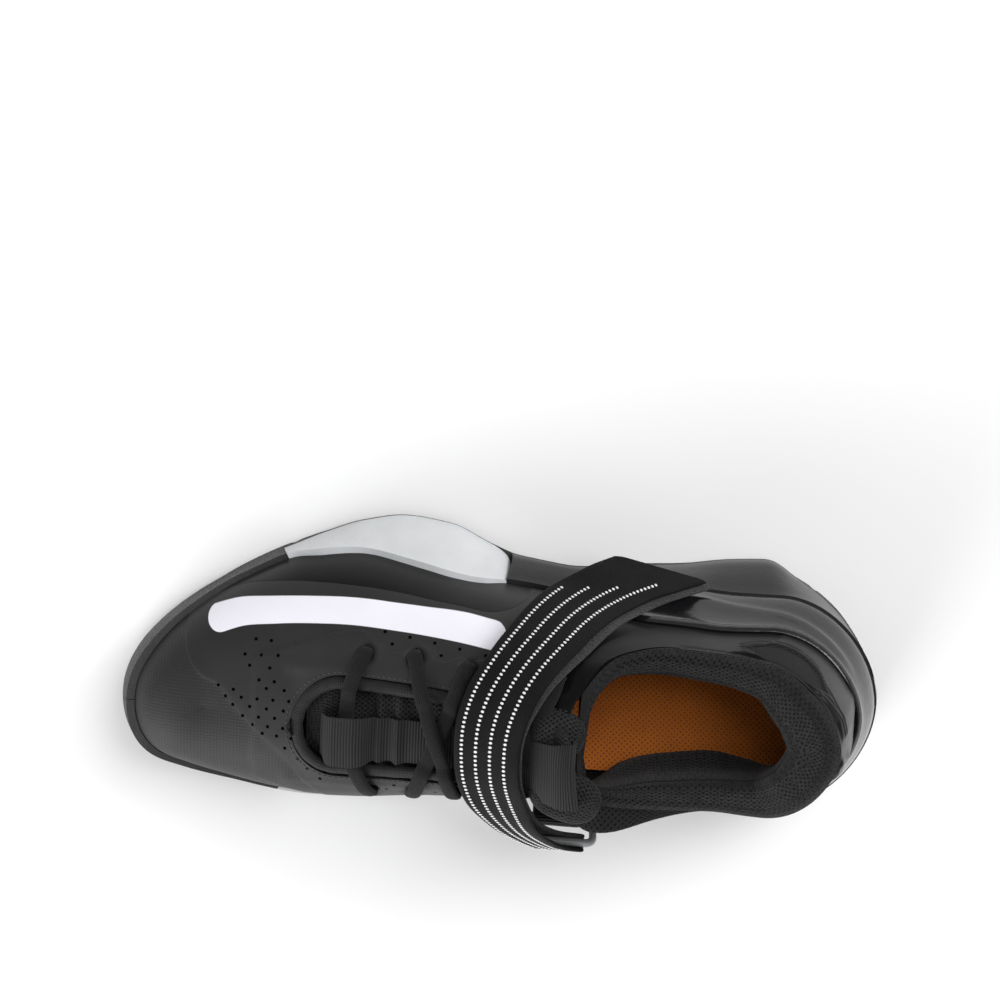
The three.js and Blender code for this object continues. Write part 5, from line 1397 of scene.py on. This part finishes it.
def makeLoop():
    wire, corner = strapSizes["wire"], 3.0
    half, height = widths[-1] / 2 + size["gap"] + wire, strapSizes["loopReach"] + wire
    spots = []
    for a, d, start in ((half - corner, corner, -90), (half - corner, height - corner, 0),
                        (corner - half, height - corner, 90), (corner - half, corner, 180)):
        for step in range(9):
            angle = math.radians(start + step * 11.25)
            spots.append(loopCentre + loopAcross * (a + corner * math.cos(angle))
                         + tabRun * (d + corner * math.sin(angle)))
    front = np.broadcast_to(np.cross(loopAcross, tabRun), (len(spots), 3))
    grid = sweepGrid(stationsOf(np.array(spots), front, closed=True), ovalOutline(wire, wire, 16, 2.6))
    piece = gridObject("strap_loop_ring", np.concatenate([grid, grid[:1]]), closed=True)
    return finishPiece(piece, paint["loop"], "grey_plastic", "strap_loop")


def makeTab():
    front, thick = np.cross(loopAcross, tabRun), 1.2
    length = (tabFoot - lowerBar) @ tabRun
    path = []
    for share in np.linspace(1, 0, 24):
        apart = mix(foldAcross, thick + size["gap"], smoothStep(share, 0, 0.7)) / 2
        path.append((share, apart))
    spots = [lowerBar + tabRun * s * length + front * a for s, a in path]
    faces = [front] * len(spots)
    for step in range(1, 12):
        angle = math.pi * step / 12
        turned = front * math.cos(angle) - tabRun * math.sin(angle)
        spots.append(lowerBar + turned * foldAcross / 2)
        faces.append(turned)
    spots += [lowerBar + tabRun * s * length - front * a for s, a in reversed(path)]
    faces += [-front] * len(path)
    faces = np.array(faces)
    stations = (np.array(spots), np.broadcast_to(loopAcross, faces.shape), faces)
    outline = stripOutline(widths[-1] - strapSizes["wire"], thick, 21)
    piece = gridObject("loop_tab_webbing", sweepGrid(stations, outline), closed=True, capped=True)
    return finishPiece(piece, paint["webbing"], "tab_webbing", "loop_tab")


makeStrap()
makeLoop()
makeTab()
print("strap made")

def repeatTree(material):  # a small form set on every point, turned by the point's own directions
    tree = bpy.data.node_groups.new("repeat_" + material.name, "GeometryNodeTree")
    face = tree.interface
    face.new_socket("Geometry", in_out="INPUT", socket_type="NodeSocketGeometry")
    face.new_socket("Size", in_out="INPUT", socket_type="NodeSocketVector")
    face.new_socket("Geometry", in_out="OUTPUT", socket_type="NodeSocketGeometry")
    given = add(tree, "NodeGroupInput")
    form = add(tree, "GeometryNodeMeshUVSphere", {"Segments": 8, "Rings": 5, "Radius": 0.5})
    facing = add(tree, "GeometryNodeInputNamedAttribute", {"data_type": "FLOAT_VECTOR", "Name": "facing"})
    along = add(tree, "GeometryNodeInputNamedAttribute", {"data_type": "FLOAT_VECTOR", "Name": "along"})
    first = add(tree, "FunctionNodeAlignRotationToVector", {"axis": "Z"}, {"Vector": facing.outputs[0]})
    second = add(tree, "FunctionNodeAlignRotationToVector", {"axis": "X", "pivot_axis": "Z"},
                 {"Rotation": first.outputs[0], "Vector": along.outputs[0]})
    spread = add(tree, "GeometryNodeInstanceOnPoints", None,
                 {"Points": given.outputs[0], "Instance": form.outputs[0], "Rotation": second.outputs[0],
                  "Scale": given.outputs[1]})
    real = add(tree, "GeometryNodeRealizeInstances", None, {0: spread.outputs[0]})
    painted = add(tree, "GeometryNodeSetMaterial", {"Material": material}, {0: real.outputs[0]})
    shaded = add(tree, "GeometryNodeSetShadeSmooth", None, {0: painted.outputs[0]})
    add(tree, "NodeGroupOutput", None, {0: shaded.outputs[0]})
    return tree


def setRepeats(name, spots, facing, along, formSize, material):
    mesh = bpy.data.meshes.new(name)
    mesh.from_pydata((np.asarray(spots) * mm).tolist(), [], [])
    for key, values in (("facing", facing), ("along", along)):
        layer = mesh.attributes.new(key, "FLOAT_VECTOR", "POINT")
        layer.data.foreach_set("vector", np.asarray(values, np.float32).ravel())
    piece = bpy.data.objects.new(name, mesh)
    bpy.context.scene.collection.objects.link(piece)
    nodes = piece.modifiers.new("repeat", "NODES")
    nodes.node_group = repeatTree(material)
    for item in nodes.node_group.interface.items_tree:
        if item.name == "Size":
            nodes[item.identifier] = [value * mm for value in formSize]
    applyModifiers(piece)
    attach(piece, "root")
    return piece


def evenAlong(points, spacing, start=0.0):  # points a fixed distance apart along a line, and its run
    steps = np.linalg.norm(np.diff(points, axis=0), axis=1)
    run = np.concatenate([[0], np.cumsum(steps)])
    places = np.arange(start, run[-1], spacing)
    spots = np.stack([np.interp(places, run, points[:, k]) for k in range(3)], axis=-1)
    tangent = np.gradient(points, axis=0)
    along = unit(np.stack([np.interp(places, run, tangent[:, k]) for k in range(3)], axis=-1))
    return spots, along


def stitchStrap():
    spots, facings, runs = [], [], []
    share, apart = strapLayers()
    wave = strapWave(share)
    for rowShare, start in zip(strapSizes["dashRows"], strapSizes["dashStarts"]):
        offset = (0.5 - rowShare) * widths
        lift = apart + strapSizes["thickness"] / 2 + 0.05 + wave * offset / 18
        line = centre + across * offset[:, None] + facing * lift[:, None]
        first = int(start * strapSizes["steps"])
        row, run = evenAlong(line[first:], 1.75)
        index = [np.argmin(np.linalg.norm(line - spot, axis=1)) for spot in row]
        spots.append(row)
        runs.append(run)
        facings.append(facing[index])
    setRepeats("strap_dash_stitches", np.vstack(spots), np.vstack(facings), np.vstack(runs),
               (1.05, 1.5, 0.5), paint["whiteThread"])


perforations = [((198, -19), (192, -19), 2), ((202, -13), (189, -14), 3), ((200, -9), (192, -9), 2),
                ((196, -4), (190, -4), 2), ((212, 0), (206, 1), 2), ((193, -1), (186, -1), 2),
                ((209, 4), (184, 3), 5), ((206, 7), (186, 7), 4), ((202, 11), (183, 10), 4),
                ((198, 14), (180, 14), 4), ((194, 17), (177, 18), 4), ((185, 22), (173, 23), 3),
                ((180, 26), (169, 31), 3), ((176, 30), (171, 34), 2), ((148, -27), (119, -24), 4),
                ((145, -23), (126, -21), 3), ((109, -23), (104, -24), 2), ((145, 36), (142, 33), 2),
                ((135, 35), (126, 35), 2), ((123, 31), (116, 33), 2)]


def dropOn(piece, plan):  # where points of the plan meet a piece from above, and the facing there
    work = bmesh.new()
    work.from_mesh(piece.data)
    tree = BVHTree.FromBMesh(work)
    found = [tree.ray_cast(Vector((x * mm, y * mm, 0.2)), Vector((0, 0, -1))) for x, y in plan]
    work.free()
    met = [hit for hit in found if hit[0] is not None]
    return np.array([hit[0] for hit in met]) / mm, np.array([hit[1] for hit in met])


def pierceShell():
    plan = np.vstack([np.linspace(a, b, n) for a, b, n in perforations])
    spots, facing = dropOn(shell, plan)
    # the holes are thin dark discs laid on the shell, painted shade; no openings are cut
    setRepeats("punched_holes", spots, facing, np.tile([1.0, 0, 0], (len(spots), 1)),
               (1.5, 1.5, 0.16), paint["hole"])


def stitchLip():
    path = throatPath(bindingForm["width"] / 2 + 1.6)
    line = onRoof(path[:, 0], path[:, 1], 0)
    spots, run = evenAlong(line, 2.2)
    held, facing = dropOn(shell, spots[:, :2])
    near = np.abs(held[:, 2] - spots[:, 2]) < 3 if len(held) == len(spots) else np.ones(len(held), bool)
    run = run[: len(held)]
    setRepeats("lip_stitches", held[near] + facing[near] * 0.1, facing[near], run[near],
               (1.5, 0.5, 0.35), paint["blackThread"])


stitchStrap()
pierceShell()
stitchLip()
print("stitches and holes made")
